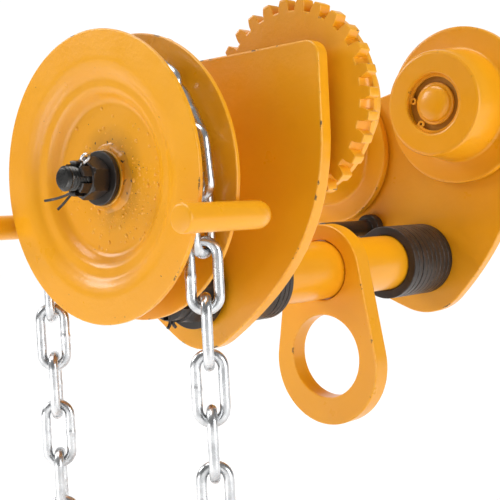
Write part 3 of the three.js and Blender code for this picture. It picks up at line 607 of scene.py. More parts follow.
HOUSING_R = 14.4
STUD_X = -34.4
STUD_ABOVE_BAR = 30.1
STUD_R = 5.6
STUD_HEAD_R = 9.4
STUD_REACH = 58.0
drive_outline = plate_outline(DRIVE_LOBE_R)
drive_holes = [circle(0, 0, BAR_R + GAP), circle(0, BAR_BELOW_SHAFT, HOUSING_R + GAP)]
drive_plate = (drive_outline, drive_holes, DRIVE_OUT_Y, DRIVE_IN_Y)
slab("side_plate_drive", *drive_plate, "paint", "frame", ["drive_side_plate"], 0.8, DRIVE_MATRIX)
far_outline = plate_outline(FAR_LOBE_R)
far_holes = [circle(0, 0, BAR_R + GAP), circle(STUD_X, STUD_ABOVE_BAR, STUD_R + GAP, 48)]
far_plate = (far_outline, far_holes, FAR_IN_Y, FAR_OUT_Y)
slab("side_plate_far", *far_plate, "paint", "far_frame", ["far_side_plate"], 0.8, FAR_MATRIX)
stud_x, stud_z = far_point(STUD_X, STUD_ABOVE_BAR)
stud_profile = [
    (0, FAR_IN_Y - STUD_REACH),
    (STUD_R, FAR_IN_Y - STUD_REACH),
    (STUD_R, FAR_IN_Y - GAP - 8),
    (STUD_HEAD_R, FAR_IN_Y - GAP - 7),
    (STUD_HEAD_R, FAR_IN_Y - GAP),
    (STUD_R, FAR_IN_Y - GAP),
    (STUD_R, FAR_OUT_Y + 3),
    (0, FAR_OUT_Y + 3),
]
turned("stud", stud_profile, "black", "far_frame", ["guide_stud"], stud_x, stud_z, 0.9, 64, closed=False)

# ---- Load bar, nuts, spacers, eye plate ----
BAR_STICKS_OUT = 2.7  # the thick part of the bar, past each plate
OUTER_WASHER_T = 3.0
OUTER_WASHER_R = 23.0
NUT_H = 17.0
NUT_FLATS = 36.0
NUT_BORE_R = 12.3
NUT_SLOT = (5.0, 6.0)  # width and depth
SPACER_IN_R = 17.9
SPACER_R = 23.5
BAR_PIN_R = 1.8
BAR_PIN_HALF = 17.4
NEAR_Y = DRIVE_OUT_Y - BAR_STICKS_OUT
FAR_Y = FAR_OUT_Y + BAR_STICKS_OUT
near_nut_y = NEAR_Y - 2 * GAP - OUTER_WASHER_T - NUT_H
far_nut_y = FAR_Y + 2 * GAP + OUTER_WASHER_T


THREAD_SIDES = 96


def threaded_rings(r, y0, y1, pitch, depth):
    """Ring rows of a helical V thread that fades out at both ends."""
    rows = int((y1 - y0) / pitch * 8)
    rings = []
    for i in range(rows + 1):
        y = y0 + (y1 - y0) * i / rows
        fade = min(1.0, (y - y0) / 1.2, (y1 - y) / 0.6)

        def radius(j, y=y, fade=max(0.0, fade)):
            phase = (y / pitch - j / THREAD_SIDES) % 1.0
            return r - depth * fade * abs(2 * phase - 1)

        rings.append((radius, y))
    return rings


bar_rings = [(0, near_nut_y - 5), (BAR_THREAD_R - 1.5, near_nut_y - 5)]
bar_rings += threaded_rings(BAR_THREAD_R, near_nut_y - 3.5, NEAR_Y - 0.3, 3.0, 1.1)
bar_rings += [(BAR_THREAD_R, NEAR_Y), (BAR_R - 1, NEAR_Y), (BAR_R - 0.3, NEAR_Y + 0.3), (BAR_R, NEAR_Y + 1)]
bar_rings += [(BAR_R, NEAR_Y + 2), (BAR_R, FAR_Y - 2)]
bar_rings += [(BAR_R, FAR_Y - 1), (BAR_R - 0.3, FAR_Y - 0.3), (BAR_R - 1, FAR_Y), (BAR_THREAD_R, FAR_Y)]
bar_rings += threaded_rings(BAR_THREAD_R, FAR_Y + 0.3, far_nut_y + NUT_H + 3.5, 3.0, 1.1)
bar_rings += [(BAR_THREAD_R - 1.5, far_nut_y + NUT_H + 5), (0, far_nut_y + NUT_H + 5)]
spun("bar", bar_rings, even(THREAD_SIDES), "paint_smooth", "frame", ["load_bar"], 0, BAR_Z, 40)


def castle_nut(name, flats, y0, height, bore, slot_side, slot_w, slot_d, body, node, z, tilt=0.0):
    """A hexagon nut with chamfered corners and a round slotted crown."""
    count = 144
    corner = flats / sqrt(3)
    crown = flats * 0.47
    angles = [a + tilt for a in even(count)]

    def hexagon(limit):
        return lambda j: min(limit, flats / 2 / cos((TAU * j / count) % (pi / 3) - pi / 6))

    def y_at(t):
        return y0 + t if slot_side < 0 else y0 + height - t

    rings = [
        (bore, y_at(0.5)),
        (bore + 0.6, y_at(0)),
        (crown - 0.7, y_at(0)),
        (crown - 0.2, y_at(0.25)),
        (crown, y_at(0.8)),
        (crown, y_at(slot_d * 0.9)),
        (hexagon(crown + 0.1), y_at(slot_d * 0.95)),
        (hexagon(flats / 2 + 0.3), y_at(slot_d)),
        (hexagon(corner * 0.97), y_at(slot_d + corner * 0.08)),
        (hexagon(corner), y_at(slot_d + corner * 0.12)),
        (hexagon(corner), y_at(height - corner * 0.10)),
        (hexagon(corner * 0.97), y_at(height - corner * 0.05)),
        (hexagon(flats / 2 + 0.2), y_at(height)),
        (bore + 0.6, y_at(height)),
        (bore, y_at(height - 0.5)),
    ]
    nut_verts, nut_faces = revolve(rings, angles, 0, z)
    nut = bare_object(name, nut_verts, nut_faces)
    slots = []
    for i in range(3):
        middle = Matrix.Translation((0, y_at((slot_d - 1) / 2 - 0.5), z))
        turn = Matrix.Rotation(i * pi / 3 - tilt, 4, "Y")
        slots.append(block("slot_tool", (slot_w, slot_d + 1, corner * 2.4), middle @ turn))
    boolean(nut, slots)
    return finish_piece(nut, "black", body, [node], sharp=28, weighted=True)


for end, y, side in (("near", near_nut_y, -1), ("far", far_nut_y, 1)):
    nut = (NUT_FLATS, y, NUT_H, NUT_BORE_R, side, *NUT_SLOT)
    castle_nut(f"bar_nut_{end}", *nut, "frame", f"load_bar_nut_{end}", BAR_Z)


def split_pin(name, r, y, half, leg, look, body, node, z, tilt=0.0, spread=None, eye_gap=2.6):
    """Two wires side by side: an eye above, a straight shank, and legs bent apart. Black below, as painted
    shade.
    """
    turn = Matrix.Rotation(tilt, 3, "Y")
    eye_r = r * 1.75
    parts = []
    for side in (-1, 1):
        path = []
        for k in range(15):
            a = pi / 2 - side * pi * k / 14 * 0.86
            path.append(Vector((0, eye_r * cos(a), half + r * eye_gap + eye_r * sin(a))))
        path.append(Vector((0, side * r * 0.52, half + r * (eye_gap - 2.2))))
        for k in range(8):
            path.append(Vector((0, side * r * 0.52, half - 0.6 - (2 * half - 1.2) * k / 7)))
        if spread:
            bend = spread[0] if side < 0 else spread[1]
            root = Vector((0, side * r * 0.52, -half))
            for k in range(1, 9):
                t = k / 8
                path.append(root + Vector((0, 0, -1.2)) * t * (1 - t) * 2 + Vector(bend) * t)
        else:
            for k in range(1, 7):
                t = k / 6
                path.append(Vector((0, side * (r * 0.52 + leg * 0.45 * t * t), -half - leg * 0.8 * t)))
        path = [turn @ p + Vector((0, y, z)) for p in path]
        parts.append(sweep_points(path, r * 0.5, sides=10))
    pin_verts, pin_faces = combine(parts)
    pin = make_piece(name, pin_verts, pin_faces, look, body, [node], sharp=50)
    axis = turn @ Vector((0, 0, 1))
    # The half below the middle takes the black look: painted shade on the shank and legs, which lie in
    # shadow.
    pin.data.materials.append(LOOKS["black"][0])
    for polygon in pin.data.polygons:
        height = (polygon.center / MM - Vector((0, y, z))).dot(axis)
        polygon.material_index = 1 if height < 0 else 0
    return pin


for end, pin_y in (("near", near_nut_y + 3), ("far", far_nut_y + NUT_H - 3)):
    pin = (BAR_PIN_R, pin_y, BAR_PIN_HALF, 4)
    split_pin(f"bar_split_pin_{end}", *pin, "zinc", "frame", f"load_bar_pin_{end}", BAR_Z)


def ring_from_cad(name, node, inner, outer, edge):
    """A black ring on the load bar that takes its place along Y from its CAD node."""
    low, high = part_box(node)
    return bush(name, inner, outer, low.y / MM, high.y / MM, "black", "frame", [node], 0, BAR_Z, edge)


for end in ("near", "far"):
    ring_from_cad(f"bar_washer_{end}", f"outer_washer_{end}", NUT_BORE_R, OUTER_WASHER_R, 0.35)
ring_from_cad("sleeve", "spacer_sleeve", SPACER_IN_R, SPACER_R, 0.8)
for end, washers in (("near", 3), ("far", 9)):
    for i in range(1, washers + 1):
        ring_from_cad(f"washer_{end}_{i}", f"{end}_washer_{i}", SPACER_IN_R, SPACER_R, 0.6)

EYE_TOP_R = 27.5
EYE_FOOT_R = 37.4
EYE_DROP = 56.2  # from the load bar down to the middle of the round foot
EYE_HOLE_R = 24.9
EYE_HOLE_DROP = 52.0
EYE_NEAR_Y = -7.6
EYE_FAR_Y = 4.4
lean = asin((EYE_FOOT_R - EYE_TOP_R) / EYE_DROP)
eye_outline = arc(0, 0, EYE_TOP_R, lean, pi - lean, 56)
eye_outline += arc(0, -EYE_DROP, EYE_FOOT_R, pi - lean, TAU + lean, 96)
eye_holes = [circle(0, 0, BAR_R + 0.5), circle(0, -EYE_HOLE_DROP, EYE_HOLE_R, 128)]
eye = (tidy_loop(eye_outline), eye_holes, EYE_NEAR_Y, EYE_FAR_Y)
slab("eye_plate_body", *eye, "paint", "eye", ["eye_plate"], 0.9, DRIVE_MATRIX)


# ---- Gear teeth ----
def involute(a):
    """The involute function of an angle."""
    return tan(a) - a


def tooth_points(teeth, tip_r, root_r, phase):
    """(angle, radius) round the whole gear, with rounded tips and root corners."""
    pitch_r = teeth * MODULE / 2
    base_r = pitch_r * cos(PRESSURE_ANGLE)
    at_pitch = pi / (2 * teeth) - BACKLASH / 2 / pitch_r

    def half(r):
        if r <= base_r:
            return at_pitch + involute(PRESSURE_ANGLE)
        return at_pitch + involute(PRESSURE_ANGLE) - involute(acos(base_r / r))

    start_r = max(root_r, base_r)
    steps = 6
    flank = [(half(start_r) + 0.5 / root_r, root_r), (half(start_r) + 0.12 / root_r, root_r + 0.12)]
    flank.append((half(start_r), root_r + 0.5))
    for k in range(steps + 1):
        r = start_r + 0.3 + (tip_r - 0.65 - start_r) * k / steps
        flank.append((half(r), r))
    flank += [(half(tip_r) - 0.05 / tip_r, tip_r - 0.12), (half(tip_r) - 0.35 / tip_r, tip_r)]
    points = []
    for t in range(teeth):
        centre = phase + t * TAU / teeth
        points += [(centre - a, r) for a, r in flank]
        points.append((centre, tip_r))
        points += [(centre + a, r) for a, r in reversed(flank)]
        points.append((centre + pi / teeth, root_r))
    return points


ROOT_CLEARANCE = 0.6
GEAR_ROOT_R = CENTRE_DISTANCE - PINION_TIP_R - ROOT_CLEARANCE
PINION_ROOT_R = CENTRE_DISTANCE - GEAR_TIP_R - ROOT_CLEARANCE
MESH_ANGLE = atan2(AXLE_ABOVE_SHAFT, AXLE_X)
PINION_PHASE = MESH_ANGLE


def mesh_shift(x):
    """How far the gear at x turns so that its teeth fall between the pinion's."""
    if x > 0:
        return 0.0
    offset = (PINION_PHASE - (pi - MESH_ANGLE)) / (TAU / PINION_TEETH)
    return -(offset - round(offset)) * TAU / GEAR_TEETH


# ---- Wheels ----
BORE_R = 19.0
FLANGE_R = 51.0
TREAD_R = 34.6
TAPER = 1.2
GEAR_STAND = 6.8  # side plate to the gear's face
TOOTH_W = 7.5
RIM_W = 3.5
RIM_R = 47.5  # the rim behind the teeth
TREAD_W = 23.0
RUN_OUT = 5.5  # length of the curved end of each tooth space
CLIP_DEPTH = 2.6
CLIP_T = 1.4
CLIP_IN_R = 17.0
CLIP_OPENING = 0.4  # half the gap between the clip's ends, in radians
EAR_R = 2.2
EAR_FROM_AXIS = 16.0
EAR_HOLE_R = 1.0
GROOVE_R = 19.9
DOME_R = 13.4
CROWN_R = 11.6
AXLE_FOOT_R = 8.0
AXLE_COLLAR_R = 15.0
AXLE_R = 11.5
AXLE_STEP_R = 8.5
BEARING_IN_R = 8.8
BEARING_OUT_R = 18.7
BEARING_W = 12.0
PLAIN_STAND = 1.2  # side plate to the plain wheel's flange
PLAIN_FLANGE_T = 6.0
PLAIN_TREAD_W = 28.0
GEAR_FRONT = GEAR_STAND + TOOTH_W + RIM_W + TREAD_W
PLAIN_FRONT = PLAIN_STAND + PLAIN_FLANGE_T + PLAIN_TREAD_W


def tread_and_bore(flange_y, front, chamfer):
    """Profile from the flange's back face over the tread and down the bore, with its groove."""
    fillet = [
        (TREAD_R + TAPER + 2.2 * (1 - sin(a)), flange_y + 2.2 * (1 - cos(a)))
        for a in (pi / 2 * k / 5 for k in range(6))
    ]
    clip_y = front - CLIP_DEPTH
    return fillet + [
        (TREAD_R + TAPER - 0.2, flange_y + 3.5),
        (TREAD_R - TAPER + 0.15, front - chamfer - 0.8),
        (TREAD_R - TAPER, front - chamfer),
        (TREAD_R - TAPER - chamfer * 0.3, front - chamfer * 0.35),
        (TREAD_R - TAPER - chamfer, front),
        (TREAD_R - TAPER - chamfer - 0.6, front),
        (BORE_R + 1.8, front),
        (BORE_R + 1.0, front),
        (BORE_R + 0.3, front - 0.3),
        (BORE_R, front - 0.9),
        (BORE_R, clip_y),
        (GROOVE_R, clip_y),
        (GROOVE_R, clip_y - CLIP_T - GAP),
        (BORE_R, clip_y - CLIP_T - GAP),
    ]


def geared_wheel(name, x, body, node):
    """A wheel with teeth cut into its flange; each tooth space runs out in a curve at the back."""
    phase = atan2(-AXLE_ABOVE_SHAFT, -x) + pi / GEAR_TEETH + mesh_shift(x)
    points = tooth_points(GEAR_TEETH, GEAR_TIP_R, GEAR_ROOT_R, phase)
    angles = [a for a, _ in points]
    radii = [r for _, r in points]
    y0 = DRIVE_IN_Y + GEAR_STAND

    def tooth(shrink):
        return lambda j: radii[j] - shrink

    def run_out(t):
        floor_r = GEAR_ROOT_R + (RIM_R - GEAR_ROOT_R) * (1 - sqrt(max(0.0, 1 - t * t)))
        return lambda j: max(radii[j], floor_r)

    rings = [(BORE_R, y0 + 0.5), (BORE_R + 0.5, y0), (GEAR_ROOT_R - 3, y0)]
    rings += [(tooth(1.2), y0), (tooth(0.45), y0)]
    rings += [(tooth(0.12), y0 + 0.15), (tooth(0), y0 + 0.5), (tooth(0), y0 + 0.9)]
    rings += [(run_out(k / 8), y0 + TOOTH_W - RUN_OUT * (1 - k / 8)) for k in range(8)]
    rings += [(lambda j: max(radii[j] - 0.15, RIM_R), y0 + TOOTH_W - 0.12)]
    rings += [(lambda j: max(radii[j] - 0.5, RIM_R), y0 + TOOTH_W), (RIM_R, y0 + TOOTH_W + 0.03)]
    back = TOOTH_W + RIM_W
    rings += [(RIM_R, y0 + back - 0.9), (RIM_R, y0 + back - 0.4)]
    rings += [(RIM_R - 0.15, y0 + back - 0.12), (RIM_R - 0.5, y0 + back), (RIM_R - 1.2, y0 + back)]
    rings += tread_and_bore(y0 + back, y0 + back + TREAD_W, 1.2)
    spun(name, rings, angles, "paint", body, [node], x, AXLE_Z, 38)


def plain_wheel(name, x, z, body, node):
    """A flanged wheel on the far plate."""
    flange_t = PLAIN_FLANGE_T
    r = FLANGE_R - 0.3
    outer = [(BORE_R, 0.5), (BORE_R + 0.5, 0), (r - 2.2, 0), (r - 1.2, 0), (r - 0.4, 0.3), (r, 1.1)]
    outer += [(r, 2), (r, flange_t - 2), (r, flange_t - 1.1), (r - 0.35, flange_t - 0.3)]
    outer += [(r - 1.1, flange_t), (r - 2, flange_t)]
    outer += tread_and_bore(flange_t, flange_t + PLAIN_TREAD_W, 2.0)
    rings = [(radius, FAR_IN_Y - PLAIN_STAND - y) for radius, y in outer]
    spun(name, rings, even(160), "paint", body, [node], x, z, 38)


def axle(name, x, z, inner_y, direction, stand, front, body, node):
    """The axle stud in its plate, with a broad domed head inside the wheel."""
    head = front - CLIP_DEPTH - CLIP_T - 1
    dome = [(DOME_R, head + 1.6), (DOME_R - 0.3, head + 2.0), (DOME_R - 0.9, head + 2.2)]
    dome += [
        (CROWN_R * cos(a) ** 0.8 if a < pi / 2 - 0.01 else 0, head + 2.5 + 4.4 * sin(a))
        for a in (pi / 2 * k / 14 for k in range(15))
    ]
    profile = [
        (0, -4.7),
        (AXLE_FOOT_R - 0.6, -4.7),
        (AXLE_FOOT_R, -4.1),
        (AXLE_FOOT_R, GAP),
        (AXLE_COLLAR_R - 0.4, GAP),
        (AXLE_COLLAR_R, GAP + 0.4),
        (AXLE_COLLAR_R, stand - GAP),
        (AXLE_R, stand - GAP),
        (AXLE_R, head - BEARING_W - GAP),
        (AXLE_STEP_R, head - BEARING_W - GAP),
        (AXLE_STEP_R, head),
        (DOME_R - 0.4, head),
        (DOME_R, head + 0.4),
    ]
    rings = [(r, inner_y + direction * y) for r, y in profile + dome]
    spun(name, rings, even(96), "paint_smooth", body, [node], x, z, 40)


def retaining_clip(name, x, z, y_outer, direction, turn, body, node):
    """An open ring with two holed ears that point inward."""
    y0, y1 = sorted((y_outer, y_outer - direction * CLIP_T))
    start, end = turn + CLIP_OPENING, turn + TAU - CLIP_OPENING
    outline = arc(0, 0, GROOVE_R - GAP, start, end, 90)
    outline += arc(0, 0, CLIP_IN_R, end, start, 90)
    clip = slab_object(tidy_loop(outline), y0, y1)
    ears = []
    holes = []
    for side in (-1, 1):
        a = turn + side * (CLIP_OPENING + 0.12)
        ex, ez = EAR_FROM_AXIS * cos(a), EAR_FROM_AXIS * sin(a)
        ears.append(slab_object(circle(ex, ez, EAR_R, 32), y0 + 0.01, y1 - 0.01))
        holes.append(slab_object(circle(ex, ez, EAR_HOLE_R, 20), y0 - 1, y1 + 1))
    boolean(clip, ears, "UNION")
    boolean(clip, holes)
    clip.name = name
    clip.data.transform(Matrix.Translation((x * MM, 0, z * MM)))
    finish_piece(clip, "paint_smooth", body, [node], sharp=30)


def slab_object(loop, y0, y1):
    """A plain prism, used only as a boolean part."""
    n = len(loop)
    prism = [(px, y, pz) for y in (y0, y1) for px, pz in loop]
    sides = grid_faces(2, n, 0)
    corners = [Vector((px, pz, 0)) for px, pz in loop]
    caps = tessellate_polygon([corners])
    sides += [tuple(t) for t in caps] + [tuple(k + n for k in reversed(t)) for t in caps]
    return bare_object("prism", prism, sides)


def bearing(name, x, z, plate_y, direction, front, body, node):
    """The ring between an axle's domed head and its shoulder."""
    outer_end = plate_y + direction * (front - CLIP_DEPTH - CLIP_T - 1 - GAP)
    inner_end = outer_end - direction * (BEARING_W - 2 * GAP)
    ends = sorted((inner_end, outer_end))
    bush(name, BEARING_IN_R, BEARING_OUT_R, *ends, "overspray", body, [node], x, z)


for hand, x in (("right", AXLE_X), ("left", -AXLE_X)):
    end = f"drive_{hand}"
    geared_wheel(f"gear_wheel_{hand}", x, f"geared_{hand}", f"geared_wheel_{end}")
    axle(f"axle_{end}_stud", x, AXLE_Z, DRIVE_IN_Y, 1, GEAR_STAND, GEAR_FRONT, "frame", f"axle_{end}")
    bearing(f"bearing_{end}_ring", x, AXLE_Z, DRIVE_IN_Y, 1, GEAR_FRONT, "frame", f"bearing_{end}")
    clip_y = DRIVE_IN_Y + GEAR_FRONT - CLIP_DEPTH - GAP / 2
    retaining_clip(f"clip_{end}", x, AXLE_Z, clip_y, 1, -0.5, f"geared_{hand}", f"wheel_clip_{end}")

for hand, side in (("right", 1), ("left", -1)):
    end = f"far_{hand}"
    x, z = far_point(side * AXLE_X, AXLE_Z - BAR_Z)
    plain_wheel(f"plain_wheel_{hand}", x, z, f"plain_{hand}", f"plain_wheel_{end}")
    axle(f"axle_{end}_stud", x, z, FAR_IN_Y, -1, PLAIN_STAND, PLAIN_FRONT, "far_frame", f"axle_{end}")
    bearing(f"bearing_{end}_ring", x, z, FAR_IN_Y, -1, PLAIN_FRONT, "far_frame", f"bearing_{end}")
    clip_y = FAR_IN_Y - PLAIN_FRONT + CLIP_DEPTH + GAP / 2
    turn = pi + 0.11 + FAR_TURN
    retaining_clip(f"clip_{end}", x, z, clip_y, -1, turn, f"plain_{hand}", f"wheel_clip_{end}")

# ---- Drive shaft, pinion, housing ----
SHAFT_R = 8.0
SHAFT_THREAD_R = 6.0
SHAFT_END_Y = HAND_Y - 19.2
PINION_Y0 = DRIVE_IN_Y + GEAR_STAND
PINION_Y1 = PINION_Y0 + 6
SHAFT_NUT_H = 15.0
SHAFT_NUT_FLATS = 18.0
SHAFT_NUT_BORE_R = 6.3
SHAFT_NUT_SLOT = (3.4, 5.6)
SHAFT_PIN_R = 1.3
SHAFT_PIN_HALF = 8.9
SHAFT_WASHER_T = 2.7
SHAFT_WASHER_R = 13.2
HOUSING_Y = HUB_BACK_Y + 1
HOUSING_IN_R = 11.3
BUSH_IN_R = 8.3
BUSH_OUT_R = 11.0
CLIP_RING_IN_R = 7.1
CLIP_RING_R = 11.0
PINION_W = 5.4
PIN_TILT = radians(38)

shoulder_y = HUB_FRONT_Y - GAP
groove_y = PINION_Y1 + GAP
shaft_rings = [(0, SHAFT_END_Y), (SHAFT_THREAD_R - 1.5, SHAFT_END_Y)]
shaft_rings += [(SHAFT_THREAD_R - 1.2, SHAFT_END_Y + 0.08), (SHAFT_THREAD_R - 0.3, SHAFT_END_Y + 1.0)]
shaft_rings += threaded_rings(SHAFT_THREAD_R, SHAFT_END_Y + 1.3, shoulder_y - 0.5, 1.75, 0.75)
shaft_rings += [(SHAFT_THREAD_R, shoulder_y), (SHAFT_R, shoulder_y), (SHAFT_R, groove_y)]
shaft_rings += [(SHAFT_R - 1.2, groove_y), (SHAFT_R - 1.2, groove_y + 2), (SHAFT_R, groove_y + 2)]
shaft_rings += [(SHAFT_R, PINION_Y1 + 7), (SHAFT_R - 1, PINION_Y1 + 8), (0, PINION_Y1 + 8)]
spun("shaft", shaft_rings, even(THREAD_SIDES), "dark_steel", "hand_wheel", ["drive_shaft"], 0, SHAFT_Z, 40)

nut_y = HUB_FRONT_Y - 2 * GAP - SHAFT_WASHER_T - SHAFT_NUT_H
nut = (SHAFT_NUT_FLATS, nut_y, SHAFT_NUT_H, SHAFT_NUT_BORE_R, -1, *SHAFT_NUT_SLOT)
castle_nut("shaft_castle_nut", *nut, "hand_wheel", "shaft_nut", SHAFT_Z, -PIN_TILT)
pin = (SHAFT_PIN_R, nut_y + 2.6, SHAFT_PIN_HALF, 8)
legs = ((-9.5, -4.0, -10.5), (-1.5, -3.0, -10.0))
split_pin("shaft_split_pin", *pin, "zinc", "hand_wheel", "shaft_pin", SHAFT_Z, PIN_TILT, legs, 2.1)
washer = (SHAFT_NUT_BORE_R, SHAFT_WASHER_R, shoulder_y - SHAFT_WASHER_T, shoulder_y)
bush("washer_shaft", *washer, "black", "hand_wheel", ["shaft_washer"], 0, SHAFT_Z, 0.5)

# The hub key shows as its CAD mesh.
key_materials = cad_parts["hub_key"].data.materials
key_materials.clear()
key_materials.append(LOOKS["steel"][0])

teeth = tooth_points(PINION_TEETH, PINION_TIP_R, PINION_ROOT_R, PINION_PHASE)
pinion_loop = tidy_loop([(r * cos(a), r * sin(a)) for a, r in teeth])
pinion = (pinion_loop, [circle(0, 0, SHAFT_R + GAP, 64)], PINION_Y0, PINION_Y0 + PINION_W)
at_shaft = Matrix.Translation((0, 0, SHAFT_Z * MM))
slab("pinion_gear", *pinion, "steel", "hand_wheel", ["pinion"], 0.2, at_shaft)
clip_ring = (CLIP_RING_IN_R, CLIP_RING_R, groove_y + 0.3, groove_y + 1.7)
bush("clip_pinion", *clip_ring, "black", "hand_wheel", ["pinion_clip"], 0, SHAFT_Z, 0.2, 96)
housing = (HOUSING_IN_R, HOUSING_R, HOUSING_Y, DRIVE_IN_Y + 4)
bush("housing", *housing, "paint", "frame", ["shaft_housing"], 0, SHAFT_Z)
sleeve = (BUSH_IN_R, BUSH_OUT_R, HOUSING_Y, DRIVE_IN_Y + 6)
bush("bush_shaft", *sleeve, "bronze", "frame", ["shaft_bush"], 0, SHAFT_Z)


# ---- Hand wheel ----
def disc_profile():
    """The pressing from its front: flat rim, a soft step, a ledge, a second step, a flat dish."""
    t = HAND_WHEEL_SHEET
    front = [
        (HUB_R + GAP, DISH_DEPTH),
        (37.4, DISH_DEPTH),
        (41.0, LEDGE_DEPTH + 1.3),
        (43.2, LEDGE_DEPTH - 0.1),
        (48.2, LEDGE_DEPTH - 0.5),
        (51.6, 1.3),
        (56.2, 0),
        (HAND_WHEEL_R, 0),
    ]
    back = [
        (HAND_WHEEL_R, t),
        (56.4, t),
        (50.6, LEDGE_DEPTH + t - 1.4),
        (48.0, LEDGE_DEPTH + t - 0.1),
        (44.4, LEDGE_DEPTH + t + 0.2),
        (40.8, DISH_DEPTH + t - 1.0),
        (39.0, DISH_DEPTH + t),
        (HUB_R + GAP, DISH_DEPTH + t),
    ]
    softness = [0.2, 3.6, 2.2, 2.0, 2.4, 2.6, 4.2, 0.7, 0.7, 4.0, 1.8, 1.8, 1.8, 1.6, 1.6, 0.2]
    return rounded(front + back, softness, steps=6)


disc = disc_profile()
for name, node, start, direction in (
    ("disc_front", "hand_wheel_front", HAND_Y, 1),
    ("disc_back", "hand_wheel_back", HAND_Y + HAND_WHEEL_W, -1),
):
    rings = [(r, start + direction * y) for r, y in disc]
    spun(name, rings, even(224), "paint_disc", "hand_wheel", [node], 0, SHAFT_Z, 60)

hub = (SHAFT_R + GAP, HUB_R, HUB_FRONT_Y, HUB_BACK_Y)
bush("hub", *hub, "paint_weld", "hand_wheel", ["hand_wheel_hub"], 0, SHAFT_Z, 0.7, 112)


def weld_bead(name, y_floor, direction):
    """A lumpy painted fillet between the hub and a disc."""
    rng = random.Random(7)
    around = 180
    across = 9
    lumps = [(rng.uniform(0, TAU), rng.uniform(0.12, 0.4), rng.uniform(-0.16, 0.2)) for _ in range(30)]
    bead = []
    for i in range(around):
        a = TAU * i / around
        size = 1.0
        for centre, width, height in lumps:
            away = (a - centre + pi) % TAU - pi
            size += height * exp(-((away / width) ** 2) * 3)
        size = max(0.6, min(1.35, size))
        for j in range(across):
            b = pi / 2 * j / (across - 1)
            r = HUB_R + 3.2 * size * (1 - cos(b)) ** 0.8
            rise = 2.6 * size * (1 - sin(b)) ** 0.8
            bead.append((r * cos(a), y_floor - direction * (rise - 0.15), SHAFT_Z + r * sin(a)))
        foot_r = HUB_R - 0.5
        bead.append((foot_r * cos(a), y_floor + direction * 0.3, SHAFT_Z + foot_r * sin(a)))
    bead_faces = grid_faces(around, across + 1, 0, close_rows=True)
    make_piece(name, bead, bead_faces, "paint_weld", "hand_wheel", sharp=60)


weld_bead("weld_bead_front", HAND_Y + DISH_DEPTH, 1)
weld_bead("weld_bead_back", HAND_Y + HAND_WHEEL_W - DISH_DEPTH, -1)


DROPS = 330
SUNK = 0.12  # how deep a drop sits in the dish floor


def dome_bump(x, y, z, r, height, rng):
    """A low painted drop standing on the dish floor, facing -Y."""
    sides, rows = 9, 3
    squeeze = rng.uniform(0.7, 1.0)
    spin = rng.uniform(0, TAU)
    bump = []
    for i in range(rows):
        b = pi / 2 * i / rows
        for j in range(sides):
            a = TAU * j / sides
            u = r * cos(b) * cos(a)
            w = r * cos(b) * sin(a) * squeeze
            px = x + u * cos(spin) - w * sin(spin)
            pz = z + u * sin(spin) + w * cos(spin)
            bump.append((px, y - height * sin(b) + SUNK, pz))
    bump.append((x, y - height + SUNK, z))
    top = len(bump) - 1
    bump_faces = grid_faces(rows, sides, 0)
    bump_faces += [((rows - 1) * sides + j, (rows - 1) * sides + (j + 1) % sides, top) for j in range(sides)]
    bump_faces.append(tuple(range(sides)))
    return bump, bump_faces


def spatter():
    """Weld spatter and paint lumps on the front dish, thickest below and right of the hub."""
    rng = random.Random(19)
    drops = []
    placed = []
    while len(drops) < DROPS:
        toward = rng.gauss(-0.8, 0.7) if rng.random() < 0.85 else rng.uniform(0, TAU)
        r = 17.5 + 19 * rng.random() ** 1.25
        size = 0.3 + 1.0 * rng.random() ** 2.6
        px, pz = r * cos(toward), r * sin(toward)
        if any(hypot(px - qx, pz - qz) < size + q for qx, qz, q in placed):
            continue
        placed.append((px, pz, size))
        height = size * rng.uniform(0.35, 0.7)
        drops.append(dome_bump(px, HAND_Y + DISH_DEPTH, SHAFT_Z + pz, size, height, rng))
    drop_verts, drop_faces = combine(drops)
    make_piece("weld_spatter", drop_verts, drop_faces, "paint_smooth", "hand_wheel", sharp=80)


spatter()


# ---- Hand chain ----
WIRE = 5.0
PITCH = 25.5
LINK_W = 17.6
LINKS = 28
PER_TURN = 14
CHAIN_R = PITCH / 2 / sin(pi / PER_TURN)
FIRST_JOINT_Z = -34.75
UPPER_LINKS = 10
LIFT = 0.6  # the lowest links sit up by this much in their neighbours' play
LIFT_FROM_Z = -185.0
LIFT_OVER = 45.0


def route_point(s, drop):
    """The point at distance s along the loop: up one side, over the wheel, down, and round below."""
    half = pi * CHAIN_R
    d = s % (2 * half + 2 * drop)
    if d < drop:
        return CHAIN_R, d - drop
    d -= drop
    if d < half:
        return CHAIN_R * cos(d / CHAIN_R), CHAIN_R * sin(d / CHAIN_R)
    d -= half
    if d < drop:
        return -CHAIN_R, -d
    a = pi + (d - drop) / CHAIN_R
    return CHAIN_R * cos(a), -drop + CHAIN_R * sin(a)


def bisect(low, high, too_low, turns=40):
    """The place between low and high where too_low stops being true."""
    for _ in range(turns):
        middle = (low + high) / 2
        if too_low(middle):
            low = middle
        else:
            high = middle
    return (low + high) / 2


def lay_joints(drop):
    """Distances along the loop at which the links meet, a pitch apart in a straight line."""
    joints = [drop + FIRST_JOINT_Z]
    for _ in range(LINKS):
        s = joints[-1]
        here = route_point(s, drop)

        def too_near(m, here=here):
            return dist(route_point(m, drop), here) < PITCH

        joints.append(bisect(s + PITCH * 0.9, s + PITCH * 1.2, too_near))
    return joints


def closes_short(drop):
    """Whether the links reach further than once round a loop with this drop."""
    joints = lay_joints(drop)
    return joints[LINKS] - joints[0] > TAU * CHAIN_R + 2 * drop


CHAIN_DROP = bisect(120, 320, closes_short)
chain_joints = [route_point(s, CHAIN_DROP) for s in lay_joints(CHAIN_DROP)]


def smooth_step(t):
    """From 0 to 1 with soft ends."""
    t = min(1.0, max(0.0, t))
    return t * t * (3 - 2 * t)


